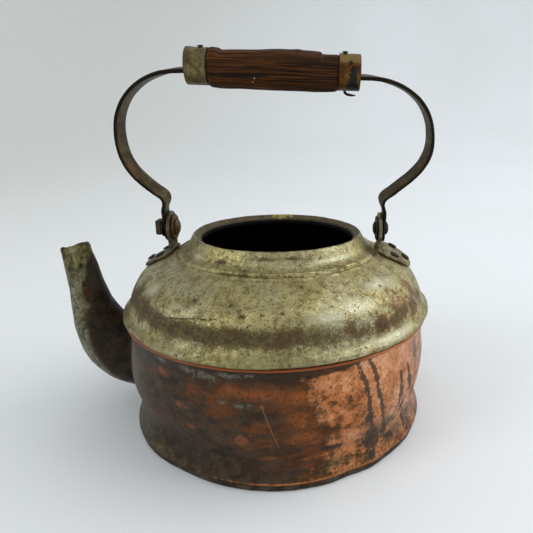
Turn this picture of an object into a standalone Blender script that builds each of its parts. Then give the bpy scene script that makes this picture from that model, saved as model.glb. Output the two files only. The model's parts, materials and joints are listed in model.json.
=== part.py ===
"""A copper kettle with a plated shoulder, an open mouth and a swinging bail handle.

Metres, +Z up. The base rests on z = 0 and the body is turned about the Z axis. The spout
points along -X, and the bail swings about an axis parallel to X through both ears.
"""
import math

import bmesh
import bpy
from mathutils import Matrix, Vector

MM = 0.001

# ---- driving dimensions, in millimetres -------------------------------------------------
FLANGE_R = 100.0          # widest point, the plated flange round the shoulder
BODY_H = 125.0            # base to the lip of the mouth
SHEET = 1.2               # thickness of the shells
GAP = 0.3                 # clearance between pieces that touch
TURNS = 48                # segments in a full turn of the body

HEM_H = 4.2               # height of the base plate's hem
WAIST_Z = 19.0            # crease where the skirt meets the belly
MOUTH_R = 54.1            # outside of the mouth's edge
LIP_R = 49.1              # inside of the mouth's edge
LIP_DROP = 2.5            # the edge slopes inwards by this much
CREASE_R = MOUTH_R + 9.9  # foot of the collar
CREASE_Z = BODY_H - 11.0
FLANGE_Z = BODY_H - 47.0  # middle of the shoulder's flange
SEAM_Z = FLANGE_Z - 4.0   # underside of the body's own flange
TURN_R = FLANGE_R - 11.1  # where the shoulder turns from its slope to its side
NECK_R = FLANGE_R - 4.3   # top of the belly, under the flange
BELLY_R = FLANGE_R - 2.0
BELLY_Z = FLANGE_Z - 36.0
WAIST_R = FLANGE_R - 6.0
FOOT_R = FLANGE_R - 2.6   # lower edge of the copper skirt
BASE_R = FLANGE_R - 3.3   # outside of the base plate's hem

PIVOT_Z = BODY_H + 2.0
BAIL_LEAN = 11.0          # degrees from upright, towards -Y
STRAP_W = 12.4
STRAP_T = 2.4
BAIL_BOW = FLANGE_R - 6.7  # middle of the strap at the widest point of the bail
BAIL_SKEW = 0.8           # the bail sits this far towards +X
BAIL_BOW_H = 57.0         # that point, above the pivot
STRAP_END = 8.9           # the strap ends this far below the pivot
STRAP_TWIST = 9.0         # degrees that each strap's inner face turns forward along its bow
TWIST_LOW = (11.0, 21.0)  # heights above the pivot over which the twist sets in
TWIST_TOP = 18.0          # distance from the grip over which it fades out
PIN_R = 2.5               # radius of the pivot bolt and rivet
EAR_T = 2.0               # thickness of the ears
EAR_R = 10.5              # rounded top of the ears
EAR_NECK = 7.6            # half width of an ear where it rises from its foot
EAR_X = 68.5              # inner face of the ear on the spout side
EAR_BACK_X = 65.4         # inner face of the ear on the back side

GRIP_LEN = 98.0           # over both ferrules
GRIP_H = 97.7             # middle of the grip, above the pivot
GRIP_TILT = 1.55          # degrees, higher on the spout side
WOOD_R = 11.0
FERRULE_R = 10.1
FERRULE_LEN = 12.6
FERRULE_T = 0.8
SLOT_DROP = 2.2           # the strap enters the grip this far below its middle
TANG_LEN = 34.0           # length of each strap inside the grip
NAIL_R = 0.9
NAIL_IN = 8.6             # each nail's distance from the end of the grip

EAR_FOOT_R = TURN_R - 1.0  # the ears' feet reach this far from the middle of the kettle
EAR_FOOT_W = 14.0         # half width of the foot
RIVET_R = 1.8             # shank of the ear rivets
RIVET_HEAD_R = 3.4
RIVET_HEAD_H = 1.3
RIVET_PAIR_X = EAR_FOOT_R - 12.8   # the two rivets beside an ear's neck
RIVET_PAIR_Y = 8.6
RIVET_OUTER_X = EAR_FOOT_R - 5.0   # the rivet near the end of its foot
SPOUT_TIP_R = 8.8
SPOUT_WALL = 1.2

MATERIALS = {
    "plate": ((0.36, 0.33, 0.24, 1.0), 0.42, 1.0),
    "copper": ((0.50, 0.20, 0.10, 1.0), 0.45, 1.0),
    "dark_copper": ((0.16, 0.08, 0.045, 1.0), 0.55, 1.0),
    "iron": ((0.16, 0.13, 0.10, 1.0), 0.60, 0.9),
    "rust": ((0.20, 0.10, 0.05, 1.0), 0.75, 0.6),
    "brass": ((0.42, 0.33, 0.16, 1.0), 0.45, 1.0),
    "old_brass": ((0.36, 0.19, 0.07, 1.0), 0.55, 0.9),
    "wood": ((0.12, 0.045, 0.022, 1.0), 0.62, 0.0),
}


# ---- small tools -------------------------------------------------------------------------
def material(name):
    found = bpy.data.materials.get(name)
    if found:
        return found
    colour, roughness, metallic = MATERIALS[name]
    mat = bpy.data.materials.new(name)
    mat.use_nodes = True
    shader = mat.node_tree.nodes["Principled BSDF"]
    shader.inputs["Base Color"].default_value = colour
    shader.inputs["Roughness"].default_value = roughness
    shader.inputs["Metallic"].default_value = metallic
    mat.diffuse_color = colour
    return mat


def add_object(name, bm, mat=None, smooth=True):
    """Turns a mesh in millimetres into an object in metres."""
    bmesh.ops.recalc_face_normals(bm, faces=bm.faces)
    bmesh.ops.scale(bm, vec=(MM, MM, MM), verts=bm.verts)
    mesh = bpy.data.meshes.new(name)
    bm.to_mesh(mesh)
    bm.free()
    obj = bpy.data.objects.new(name, mesh)
    bpy.context.scene.collection.objects.link(obj)
    if mat:
        mesh.materials.append(material(mat))
    if smooth:
        mesh.shade_smooth()
        mesh.set_sharp_from_angle(angle=math.radians(40))
    return obj


def cutter(name, bm):
    obj = add_object(name, bm, smooth=False)
    obj.hide_render = True
    obj.display_type = "WIRE"
    return obj


def boolean(obj, other, operation="DIFFERENCE"):
    mod = obj.modifiers.new(operation.lower(), "BOOLEAN")
    mod.operation = operation
    mod.solver = "EXACT"
    mod.object = other
    return obj


def turned(profile, steps=TURNS):
    """A closed outline of (radius, height) points turned about Z."""
    bm = bmesh.new()
    verts = [bm.verts.new((r, 0.0, z)) for r, z in profile]
    edges = [bm.edges.new((a, b)) for a, b in zip(verts, verts[1:] + verts[:1])]
    bmesh.ops.spin(bm, geom=verts + edges, axis=(0, 0, 1), cent=(0, 0, 0),
                   angle=2 * math.pi, steps=steps, use_merge=True)
    bmesh.ops.remove_doubles(bm, verts=bm.verts, dist=0.001)
    return bm


def lathe_solid(profile, steps=24):
    """A solid turned about Z from an open outline whose two ends lie on the axis."""
    bm = bmesh.new()
    rings = []
    for r, z in profile:
        if r < 0.001:
            rings.append([bm.verts.new((0, 0, z))])
            continue
        angles = [2 * math.pi * i / steps for i in range(steps)]
        rings.append([bm.verts.new((r * math.cos(a), r * math.sin(a), z)) for a in angles])
    for low, high in zip(rings, rings[1:]):
        for i in range(steps):
            j = (i + 1) % steps
            face = [low[i % len(low)], low[j % len(low)], high[j % len(high)], high[i % len(high)]]
            bm.faces.new(list(dict.fromkeys(face)))
    return bm


def place(bm, origin, axis):
    """Turns the mesh's Z axis to the axis given, then moves it to the origin."""
    turn = Vector(axis).to_track_quat("Z", "Y").to_matrix().to_4x4()
    bmesh.ops.transform(bm, matrix=Matrix.Translation(Vector(origin)) @ turn, verts=bm.verts)
    return bm


def rod(radius, origin, axis, low, high, steps=20):
    """A cylinder along an axis, from low to high measured from the origin."""
    return place(lathe_solid([(0, low), (radius, low), (radius, high), (0, high)], steps), origin, axis)


def block(low, high):
    bm = bmesh.new()
    bmesh.ops.create_cube(bm, size=1.0)
    size = [b - a for a, b in zip(low, high)]
    middle = [(a + b) / 2 for a, b in zip(low, high)]
    bmesh.ops.scale(bm, vec=size, verts=bm.verts)
    bmesh.ops.translate(bm, vec=middle, verts=bm.verts)
    return bm


def loft(sections):
    """A closed skin through rings of points, capped at both ends."""
    bm = bmesh.new()
    rings = [[bm.verts.new(p) for p in ring] for ring in sections]
    count = len(rings[0])
    for low, high in zip(rings, rings[1:]):
        for i in range(count):
            j = (i + 1) % count
            bm.faces.new((low[i], low[j], high[j], high[i]))
    bm.faces.new(rings[0][::-1])
    bm.faces.new(rings[-1])
    return bm


def bezier(p0, p1, p2, p3, steps):
    """Points along a cubic curve, without its last point."""
    points = []
    for i in range(steps):
        t = i / steps
        a, b, c, d = (1 - t) ** 3, 3 * t * (1 - t) ** 2, 3 * t * t * (1 - t), t ** 3
        points.append(tuple(a * w + b * x + c * y + d * z for w, x, y, z in zip(p0, p1, p2, p3)))
    return points


def offset_outline(points, distance):
    """The outline moved sideways, to the left of its direction."""
    moved = []
    for i, point in enumerate(points):
        before = points[max(i - 1, 0)]
        after = points[min(i + 1, len(points) - 1)]
        dx, dz = after[0] - before[0], after[1] - before[1]
        length = math.hypot(dx, dz)
        moved.append((point[0] - distance * dz / length, point[1] + distance * dx / length))
    return moved


def shell(outline, thickness):
    """An outline followed downwards on the outside, closed by its copy on the inside."""
    return outline + offset_outline(outline, -thickness)[::-1]


# ---- outlines of the turned body ----------------------------------------------------------
def belly_outline():
    """Outside of the copper body, from the seam down to the foot."""
    rise = BELLY_Z - WAIST_Z
    seam = [(NECK_R + 2.9, SEAM_Z + 0.2), (NECK_R + 0.9, SEAM_Z - 0.9), (NECK_R, SEAM_Z - 3.0)]
    upper = bezier((NECK_R, SEAM_Z - 6), (NECK_R + 0.6, SEAM_Z - 16), (BELLY_R, BELLY_Z + 12),
                   (BELLY_R, BELLY_Z), 4)
    lower = bezier((BELLY_R, BELLY_Z), (BELLY_R, BELLY_Z - rise / 2), (WAIST_R + 0.4, WAIST_Z + 6),
                   (WAIST_R, WAIST_Z), 4)
    foot = bezier((WAIST_R, WAIST_Z), (WAIST_R + 0.8, WAIST_Z - 6), (FOOT_R - 2.2, HEM_H + 6),
                  (FOOT_R, HEM_H + GAP), 3)
    return seam + upper + lower + foot + [(FOOT_R, HEM_H + GAP)]


def dome_outline():
    """Outside of the shoulder, from the foot of the collar down to the cove of the flange."""
    top = (CREASE_R + 1.0, CREASE_Z - 0.8)
    turn = (TURN_R, FLANGE_Z + 21)
    cove = (FLANGE_R - 4.4, FLANGE_Z + 6)
    flat = bezier(top, (CREASE_R + 8, CREASE_Z - 4), (turn[0] - 5.4, turn[1] + 7), turn, 6)
    side = bezier(turn, (turn[0] + 2.6, turn[1] - 4), (cove[0] - 1.6, cove[1] + 6), cove, 3)
    return flat + side + [cove]


def shoulder_profile():
    """Closed outline of the plated shoulder, collar, rolled lip and flange."""
    edge = [(LIP_R, BODY_H - LIP_DROP - 3.6), (LIP_R, BODY_H - LIP_DROP), (LIP_R + 2.6, BODY_H - 1.0)]
    lip = [(MOUTH_R - 0.8, BODY_H), (MOUTH_R, BODY_H - 0.5)]
    collar = [(MOUTH_R + 1.6, BODY_H - 3.4), (MOUTH_R + 3.6, BODY_H - 6.4), (CREASE_R - 3.6, BODY_H - 8.8),
              (CREASE_R - 1.2, CREASE_Z + 0.9), (CREASE_R, CREASE_Z + 0.3)]
    dome = dome_outline()
    cove = [(FLANGE_R - 3.4, FLANGE_Z + 3.8), (FLANGE_R - 1.8, FLANGE_Z + 2.2)]
    outside = edge + lip + collar + dome + cove
    under = FLANGE_Z - 2.1
    roll = [(FLANGE_R - 0.5, FLANGE_Z + 1.2), (FLANGE_R, FLANGE_Z), (FLANGE_R - 0.5, FLANGE_Z - 1.4),
            (FLANGE_R - 1.6, under)]
    inside = offset_outline(outside, -SHEET)[::-1]
    wall = [(NECK_R - SHEET, under), (NECK_R - SHEET, FLANGE_Z + 1.6)]
    keep = [p for p in inside if p[1] > FLANGE_Z + 3.4]
    return outside + roll + wall + keep


def body_profile():
    """Closed outline of the copper body, with its flange under the shoulder."""
    outside = belly_outline()
    top = FLANGE_Z - 2.1 - GAP
    flange = [(NECK_R - SHEET, top), (NECK_R + 2.7, top), (NECK_R + 3.0, SEAM_Z + 1.0)]
    inside = [p for p in offset_outline(outside, -SHEET)[::-1] if p[1] < SEAM_Z - 3.5]
    foot = [(FOOT_R - SHEET, HEM_H + GAP)]
    return flange + outside + foot + inside[1:]


def base_profile():
    """Closed outline of the base plate, a flat disc inside a hem that holds the body's foot."""
    rise = HEM_H - 0.9
    return [(0.2, 0.0), (BASE_R - 0.8, 0.0), (BASE_R, 0.8), (BASE_R, rise), (BASE_R - 0.4, HEM_H),
            (BASE_R - 2.2, HEM_H), (BASE_R - 2.4, 2.0), (BASE_R - 3.4, SHEET), (0.2, SHEET)]


def make_base():
    bm = lathe_solid([(0, 0.0)] + base_profile()[1:-1] + [(0, SHEET)], TURNS)
    return add_object("base_plate", bm, "dark_copper")


# ---- spout ---------------------------------------------------------------------------------
# Each station: how far its middle stands out from the belly, its height as a share of the body's,
# half its height, half its width, and its tilt in degrees.
SPOUT_STATIONS = [
    (-12.0, 0.293, 23.2, 21.0, 0.0),
    (0.5, 0.298, 23.2, 21.0, 4.0),
    (13.4, 0.338, 22.6, 20.0, 16.0),
    (23.2, 0.418, 20.0, 17.6, 35.0),
    (28.9, 0.539, 15.2, 14.4, 57.0),
    (31.2, 0.672, 11.6, 11.4, 71.0),
    (33.4, 0.792, 10.1, 9.9, 77.0),
    (36.0, 0.919, SPOUT_TIP_R, SPOUT_TIP_R - 0.3, 78.0),
]


def spout_ring(station, inset, points=24):
    """One oval section. Tilt 0 stands upright in the YZ plane, and 90 lies level."""
    out, share, high, wide, tilt = station
    high, wide = high - inset, wide - inset
    across = Vector((math.sin(math.radians(tilt)), 0, math.cos(math.radians(tilt))))
    angles = [2 * math.pi * i / points for i in range(points)]
    middle = Vector((-BELLY_R - out, 0, BODY_H * share))
    return [middle + across * high * math.cos(a) + Vector((0, 1, 0)) * wide * math.sin(a) for a in angles]


def smooth_stations(stations, between=2):
    """Extra stations along a Catmull-Rom curve through the ones given."""
    result = []
    last = len(stations) - 1
    for i in range(last):
        p0, p1, p2, p3 = (stations[min(max(k, 0), last)] for k in (i - 1, i, i + 1, i + 2))
        for j in range(between):
            t = j / between
            result.append(tuple(
                0.5 * (2 * b + (c - a) * t + (2 * a - 5 * b + 4 * c - d) * t * t
                       + (3 * b - a - 3 * c + d) * t ** 3)
                for a, b, c, d in zip(p0, p1, p2, p3)))
    return result + [stations[last]]


def spout_skin(inset, past_tip=0.0):
    stations = smooth_stations(SPOUT_STATIONS)
    if past_tip:
        out, share, high, wide, tilt = stations[-1]
        lean = math.radians(90 - tilt)
        share += past_tip * math.cos(lean) / BODY_H
        stations.append((out + past_tip * math.sin(lean), share, high, wide, tilt))
        stations.insert(0, (stations[0][0] - past_tip,) + stations[0][1:])
    return loft([spout_ring(s, inset) for s in stations])


def solid_body(extra):
    """The filled belly and shoulder seam, grown by a clearance."""
    outside = [(r + extra, z) for r, z in belly_outline()]
    roll = FLANGE_R + extra
    above = [(0, BODY_H), (roll, BODY_H), (roll, FLANGE_Z - 2.5 - extra), (NECK_R + extra, SEAM_Z - extra)]
    return lathe_solid(above + outside[2:] + [(outside[-1][0], -5), (0, -5)], TURNS)


def make_spout():
    spout = add_object("spout", spout_skin(0.0), "dark_copper")
    boolean(spout, cutter("spout_bore", spout_skin(SPOUT_WALL, 6.0)))
    return boolean(spout, cutter("spout_trim", solid_body(GAP)))


# ---- shells --------------------------------------------------------------------------------
def make_shells(rivet_holes):
    body = add_object("body_shell", turned(body_profile()), "copper")
    ends = [(out,) + station[1:] for out, station in zip((-18.0, 6.0), SPOUT_STATIONS)]
    hole = loft([spout_ring(station, SPOUT_WALL + 0.8) for station in ends])
    boolean(body, cutter("spout_hole", hole))
    shoulder = add_object("shoulder_shell", turned(shoulder_profile()), "plate")
    for hole_object in rivet_holes:
        boolean(shoulder, hole_object)
    return body, shoulder


# ---- ears and their rivets -------------------------------------------------------------------
RIVETS = (("front", RIVET_PAIR_X, -RIVET_PAIR_Y), ("rear", RIVET_PAIR_X, RIVET_PAIR_Y),
          ("outer", RIVET_OUTER_X, 0.0))
FOOT_LAYER = EAR_T - 0.3  # thickness of the foot


def dome_height(radius):
    """Height and slope of the shoulder's outside at a radius."""
    outline = dome_outline()
    for (r0, z0), (r1, z1) in zip(outline, outline[1:]):
        if r0 <= radius <= r1:
            return z0 + (z1 - z0) * (radius - r0) / (r1 - r0), math.atan2(z0 - z1, r1 - r0)
    return outline[0][1], 0.3


def dome_band(low, high):
    """A layer that follows the shoulder at two heights above it."""
    outline = dome_outline()
    return turned(offset_outline(outline, high) + offset_outline(outline, low)[::-1])


def dome_fill(extra):
    """Everything under the shoulder's outside, grown by a clearance."""
    outline = offset_outline(dome_outline(), extra)
    first, last = outline[0], outline[-1]
    return lathe_solid([(0, first[1])] + outline + [(last[0], 40), (0, 40)], TURNS)


def foot_outline(side, inner, z_low, z_high):
    """A prism with a round outer end, seen from above."""
    reach = EAR_FOOT_R - 12.0
    points = [(inner, -EAR_FOOT_W + 3.0), (inner, EAR_FOOT_W - 3.0), (inner + 3.0, EAR_FOOT_W)]
    for i in range(13):
        angle = math.pi / 2 - math.pi * i / 12
        points.append((reach + 12.0 * math.cos(angle), EAR_FOOT_W * math.sin(angle)))
    points.append((inner + 3.0, -EAR_FOOT_W))
    return loft([[(side * x, y, z) for x, y in points] for z in (z_low, z_high)])


def tab_outline(side, inner, thickness):
    """An upright plate with a round top about the pivot and a narrower neck under it."""
    root = FLANGE_Z + 22
    below = 0.19 * math.pi
    points = [(-EAR_NECK - 0.6, root), (-EAR_NECK, PIVOT_Z - 0.85 * EAR_R)]
    for i in range(21):
        angle = math.pi + below - (math.pi + 2 * below) * i / 20
        points.append((EAR_R * math.cos(angle), PIVOT_Z + EAR_R * math.sin(angle)))
    points += [(EAR_NECK, PIVOT_Z - 0.85 * EAR_R), (EAR_NECK + 0.6, root)]
    return loft([[(side * x, y, z) for y, z in points] for x in (inner, inner + thickness)])


def make_ear(name, side, inner):
    foot = cutter(name + "_layer", dome_band(GAP, GAP + FOOT_LAYER))
    outline = foot_outline(side, inner - 0.6, FLANGE_Z + 12, BODY_H)
    boolean(foot, cutter(name + "_outline", outline), "INTERSECT")
    ear = add_object(name, tab_outline(side, inner, EAR_T), "iron")
    boolean(ear, cutter(name + "_under", dome_fill(GAP + EAR_T * 0.4)))
    boolean(ear, foot, "UNION")
    hole = rod(PIN_R + GAP, (0, 0, PIVOT_Z), (side, 0, 0), inner - 4, inner + EAR_T + 4)
    return boolean(ear, cutter(name + "_pin_hole", hole))


def rivet_frame(side, x, y):
    """Where a rivet crosses the shoulder's outside, and its axis."""
    radius = math.hypot(x, y)
    z, slope = dome_height(radius)
    outward = Vector((side * x, y, 0)).normalized()
    axis = outward * math.sin(slope) + Vector((0, 0, math.cos(slope)))
    return Vector((side * x, y, z)), axis


def rivet_mesh(origin, axis):
    """A shank through the ear's foot and the shoulder, with a low domed head on each side."""
    under = GAP + FOOT_LAYER + GAP
    inner = -SHEET - 0.9
    outline = [(0, inner - 1.3), (RIVET_HEAD_R - 1.2, inner - 1.3), (RIVET_HEAD_R - 0.6, inner),
               (RIVET_R, inner), (RIVET_R, under), (RIVET_HEAD_R, under),
               (RIVET_HEAD_R - 0.3, under + 0.45 * RIVET_HEAD_H),
               (RIVET_HEAD_R - 1.5, under + 0.85 * RIVET_HEAD_H), (0, under + RIVET_HEAD_H)]
    return place(lathe_solid(outline, 14), origin, axis)


def make_ears():
    """Both ears, their rivets, and the cutters for the rivets' holes in the shoulder."""
    holes = []
    for name, side, inner in (("ear_spout_side", -1, EAR_X), ("ear_back", 1, EAR_BACK_X)):
        ear = make_ear(name, side, inner)
        for place_name, x, y in RIVETS:
            origin, axis = rivet_frame(side, x, y)
            label = "rivet_" + name[4:] + "_" + place_name
            add_object(label, rivet_mesh(origin, axis), "rust")
            hole = cutter(label + "_hole", rod(RIVET_R + GAP, origin, axis, -6, 8, 16))
            boolean(ear, hole)
            holes.append(hole)
    return holes


# ---- pivots --------------------------------------------------------------------------------
def washer(name, side, low, thick, radius, mat):
    profile = [(PIN_R + GAP, low), (radius - 0.3, low), (radius, low + 0.3), (radius, low + thick - 0.3),
               (radius - 0.3, low + thick), (PIN_R + GAP, low + thick)]
    bm = place(turned(profile, 20), (0, 0, PIVOT_Z), (side, 0, 0))
    return add_object(name, bm, mat)


def make_spout_side_pivot():
    """Domed bolt with its head inside, a big washer, and a washer and square nut outside."""
    side = -1
    head = EAR_X - 1.5 - 2 * GAP
    strap_out = spout_strap_x() + STRAP_T / 2
    nut_low = strap_out + GAP + 1.2 + GAP
    tip = nut_low + 4.2
    outline = [(0, head - 2.4), (3.0, head - 2.1), (4.8, head - 1.2), (5.4, head - 0.3), (5.4, head),
               (PIN_R, head), (PIN_R, tip - 0.5), (PIN_R - 0.5, tip), (0, tip)]
    bolt = place(lathe_solid(outline, 24), (0, 0, PIVOT_Z), (side, 0, 0))
    add_object("pivot_bolt", bolt, "rust")
    washer("pivot_washer_inner", side, EAR_X - 1.5 - GAP, 1.5, 8.4, "rust")
    washer("pivot_washer_outer", side, strap_out + GAP, 1.2, 6.6, "iron")
    half = 4.6
    nut = block((-half, -half, nut_low), (half, half, nut_low + 3.6))
    bmesh.ops.bevel(nut, geom=nut.edges[:], offset=0.5, segments=1, affect="EDGES")
    place(nut, (0, 0, PIVOT_Z), (side, 0, 0))
    nut = add_object("pivot_nut", nut, "rust", smooth=False)
    hole = rod(PIN_R + GAP, (0, 0, PIVOT_Z), (side, 0, 0), nut_low - 3, nut_low + 8)
    boolean(nut, cutter("nut_hole", hole))


def make_back_pivot():
    """A rivet with a washer inside the ear and a small domed head outside the strap."""
    side = 1
    head = EAR_BACK_X - 1.0 - 2 * GAP
    outer = back_strap_x() + STRAP_T / 2 + GAP
    outline = [(0, head - 1.8), (2.6, head - 1.5), (4.4, head - 0.6), (4.6, head), (PIN_R, head),
               (PIN_R, outer), (4.4, outer), (4.2, outer + 0.9), (2.6, outer + 1.9), (0, outer + 2.2)]
    rivet = place(lathe_solid(outline, 24), (0, 0, PIVOT_Z), (side, 0, 0))
    add_object("pivot_rivet", rivet, "iron")
    washer("pivot_washer_back", side, EAR_BACK_X - 1.0 - GAP, 1.0, 8.0, "iron")


# ---- bail ------------------------------------------------------------------------------------
def spout_strap_x():
    """Middle of the strap at the pivot on the spout side, outside its ear."""
    return EAR_X + EAR_T + 2 * GAP + STRAP_T / 2


def back_strap_x():
    return EAR_BACK_X + EAR_T + GAP + STRAP_T / 2


def bail_origin():
    """An empty on the hinge axis that carries the whole bail."""
    empty = bpy.data.objects.new("bail_pivot", None)
    empty.location = (0, 0, PIVOT_Z * MM)
    empty.rotation_euler = (math.radians(BAIL_LEAN), 0, 0)
    bpy.context.scene.collection.objects.link(empty)
    return empty


def entry_height(side):
    """Height above the pivot at which a strap enters the grip."""
    return GRIP_H - SLOT_DROP - side * GRIP_LEN / 2 * math.sin(math.radians(GRIP_TILT))


def strap_path(side, pivot_x):
    """Middle of a strap as (distance from the middle, height above the pivot), grip to pivot."""
    slope = math.radians(GRIP_TILT) * -side
    half = GRIP_LEN / 2
    shift = side * BAIL_SKEW
    enter = (half + 1.0 + shift, entry_height(side) + math.sin(slope))
    inside = (half - TANG_LEN + shift, enter[1] - (TANG_LEN + 1.0) * math.sin(slope))
    tang = [tuple(a + (b - a) * i / 3 for a, b in zip(inside, enter)) for i in range(3)]
    bow = (BAIL_BOW + shift, BAIL_BOW_H)
    shank = (pivot_x + 5.3, 27.0)
    kink = (pivot_x - 1.9, 17.6)
    down = (pivot_x, EAR_R + 0.8)
    top = bezier(enter, (enter[0] + 25, enter[1] - 0.4), (bow[0], bow[1] + 24), bow, 12)
    low = bezier(bow, (bow[0], bow[1] - 15), (shank[0] + 9, shank[1] + 8), shank, 8)
    turn = bezier(shank, (shank[0] - 4.5, shank[1] - 4), (kink[0] - 0.7, kink[1] + 4.8), kink, 6)
    last = bezier(kink, (kink[0] + 0.6, kink[1] - 2.6), (down[0], down[1] + 2.4), down, 4)
    return tang + top + low + turn + last + [down, (pivot_x, 0.0)]


def ramp(value, low, high):
    """0 below low and 1 above high, with a soft start and end."""
    share = min(max((value - low) / (high - low), 0.0), 1.0)
    return share * share * (3 - 2 * share)


def strap_twist(x, height):
    """How far the strap is turned about its own length, in radians."""
    top = ramp(x, GRIP_LEN / 2 + 2.0, GRIP_LEN / 2 + TWIST_TOP)
    return math.radians(STRAP_TWIST) * ramp(height, *TWIST_LOW) * top


def strap_sections(side, pivot_x):
    path = strap_path(side, pivot_x)
    radius = STRAP_W / 2
    widths = [radius] * len(path)
    middle = radius - STRAP_END
    for i in range(7):
        angle = math.radians(12 * i + 4)
        path.append((pivot_x, middle - radius * math.sin(angle)))
        widths.append(radius * math.cos(angle))
    sections = []
    for i, (x, h) in enumerate(path):
        x0, h0 = path[max(i - 1, 0)]
        x1, h1 = path[min(i + 1, len(path) - 1)]
        direction = Vector((x1 - x0, h1 - h0)).normalized()
        nx, nh = -direction.y, direction.x
        sine, cosine = math.sin(strap_twist(x, h)), math.cos(strap_twist(x, h))
        w, soft = widths[i], 0.75
        corners = ((1, w * 0.94), (soft, w), (-soft, w), (-1, w * 0.94),
                   (-1, -w * 0.94), (-soft, -w), (soft, -w), (1, -w * 0.94))
        section = []
        for k, y in corners:
            off = k * STRAP_T / 2 * cosine - y * sine
            section.append((side * (x + nx * off), y * cosine + k * STRAP_T / 2 * sine, h + nh * off))
        sections.append(section)
    return sections


def make_arm(name, side, pivot_x, parent):
    arm = add_object(name, loft(strap_sections(side, pivot_x)), "iron")
    arm.parent = parent
    hole = cutter(name + "_hole", rod(PIN_R + GAP, (0, 0, 0), (side, 0, 0), pivot_x - 6, pivot_x + 6))
    nail = cutter(name + "_nail_hole", rod(NAIL_R + GAP, nail_point(side), (0, 0, 1), -20, 20, 12))
    for tool in (hole, nail):
        tool.parent = parent
        boolean(arm, tool)
    return arm


def grip_matrix():
    """From the grip's own frame, along +X from its middle, to the bail's frame."""
    turn = Matrix.Rotation(math.radians(GRIP_TILT), 4, "Y")
    return Matrix.Translation((BAIL_SKEW, 0, GRIP_H)) @ turn


def nail_point(side):
    """Where a nail crosses the middle of the grip, in the bail's frame."""
    return grip_matrix() @ Vector((side * (GRIP_LEN / 2 - NAIL_IN), 0, 0))


def in_grip_frame(bm):
    bmesh.ops.transform(bm, matrix=grip_matrix(), verts=bm.verts)
    return bm


def along_grip(outline, steps=28):
    """A solid turned about the grip's axis, from (radius, distance along it)."""
    return in_grip_frame(place(lathe_solid(outline, steps), (0, 0, 0), (1, 0, 0)))


def slot(extra, half_length):
    tall = STRAP_T / 2 + GAP + extra
    wide = STRAP_W / 2 + GAP + extra
    low = (-half_length, -wide, -SLOT_DROP - tall)
    return in_grip_frame(block(low, (half_length, wide, -SLOT_DROP + tall)))


def make_grip(parent):
    """A turned wooden barrel, slotted for the straps, with a spigot at each end."""
    shoulder = GRIP_LEN / 2 - FERRULE_LEN
    end = GRIP_LEN / 2 - FERRULE_T - GAP
    spigot = FERRULE_R - FERRULE_T - GAP
    half = [(0, end), (spigot - 0.6, end), (spigot, end - 0.6), (spigot, shoulder),
            (WOOD_R - 0.9, shoulder), (WOOD_R - 0.5, shoulder - 2.0),
            (WOOD_R - 0.1, shoulder - 14.0), (WOOD_R, 6.0)]
    outline = half + [(r, -x) for r, x in reversed(half)]
    grip = add_object("grip", along_grip(outline[::-1]), "wood")
    cut = cutter("grip_slot", slot(0.0, GRIP_LEN))
    tools = [cut]
    for tag, side in (("spout", -1), ("back", 1)):
        hole = rod(NAIL_R + GAP, nail_point(side), (0, 0, 1), -20, 20, 12)
        tools.append(cutter("grip_nail_hole_" + tag, hole))
    tools.append(cutter("grip_tack_hole", tack_rod(NAIL_R * 0.7 + GAP, -3.4, 4.0)))
    for tool in tools:
        tool.parent = parent
        boolean(grip, tool)
    grip.parent = parent
    return grip


def make_ferrule(name, side, parent):
    """A cap over the end of the grip, slotted in its end for the strap."""
    half = GRIP_LEN / 2
    start = half - FERRULE_LEN + GAP
    bore = FERRULE_R - FERRULE_T
    outline = [(0, half), (FERRULE_R - 0.5, half), (FERRULE_R, half - 0.5), (FERRULE_R, start),
               (bore, start), (bore, half - FERRULE_T), (0, half - FERRULE_T)]
    outline = [(r, side * x) for r, x in outline]
    mat = "brass" if side < 0 else "old_brass"
    ferrule = add_object(name, along_grip(outline), mat)
    tools = [cutter(name + "_slot", slot(0.0, GRIP_LEN)),
             cutter(name + "_nail_hole", rod(NAIL_R + GAP, nail_point(side), (0, 0, 1), -20, 20, 12))]
    if side > 0:
        tools.append(cutter(name + "_tack_hole", tack_rod(NAIL_R * 0.7 + GAP, -3.0, 4.0)))
    for tool in tools:
        tool.parent = parent
        boolean(ferrule, tool)
    ferrule.parent = parent
    return ferrule


def tack_rod(radius, low, high):
    """A rod along the tack's axis, measured from the outside of the ferrule."""
    origin, axis = tack_frame()
    return rod(radius, origin, axis, low, high, 12)


def tack_frame():
    angle = math.radians(37)
    axis = Vector((0, -math.cos(angle), math.sin(angle)))
    middle = grip_matrix() @ Vector((GRIP_LEN / 2 - NAIL_IN + 3.0, 0, 0))
    return middle + axis * FERRULE_R, axis


def make_nails(parent):
    """A straight nail on the spout side, a bent one at the back, and a small tack in front of it."""
    top = FERRULE_R + 0.25
    straight = [(0, top + 0.9), (1.7, top + 0.7), (1.9, top), (NAIL_R, top), (NAIL_R, 0.6 - FERRULE_R),
                (NAIL_R - 0.4, 0.2 - FERRULE_R), (0, -FERRULE_R)]
    nail = place(lathe_solid(straight[::-1], 12), nail_point(-1), (0, 0, 1))
    add_object("nail_spout_side", nail, "iron").parent = parent
    bent = add_object("nail_back", bent_nail(top), "iron")
    bent.parent = parent
    origin, axis = tack_frame()
    small = NAIL_R * 0.7
    tack = [(0, -3.0), (small, -2.2), (small, 0.25), (1.3, 0.25), (1.1, 0.8), (0, 1.0)]
    add_object("tack", place(lathe_solid(tack, 12), origin, axis), "iron").parent = parent


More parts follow.
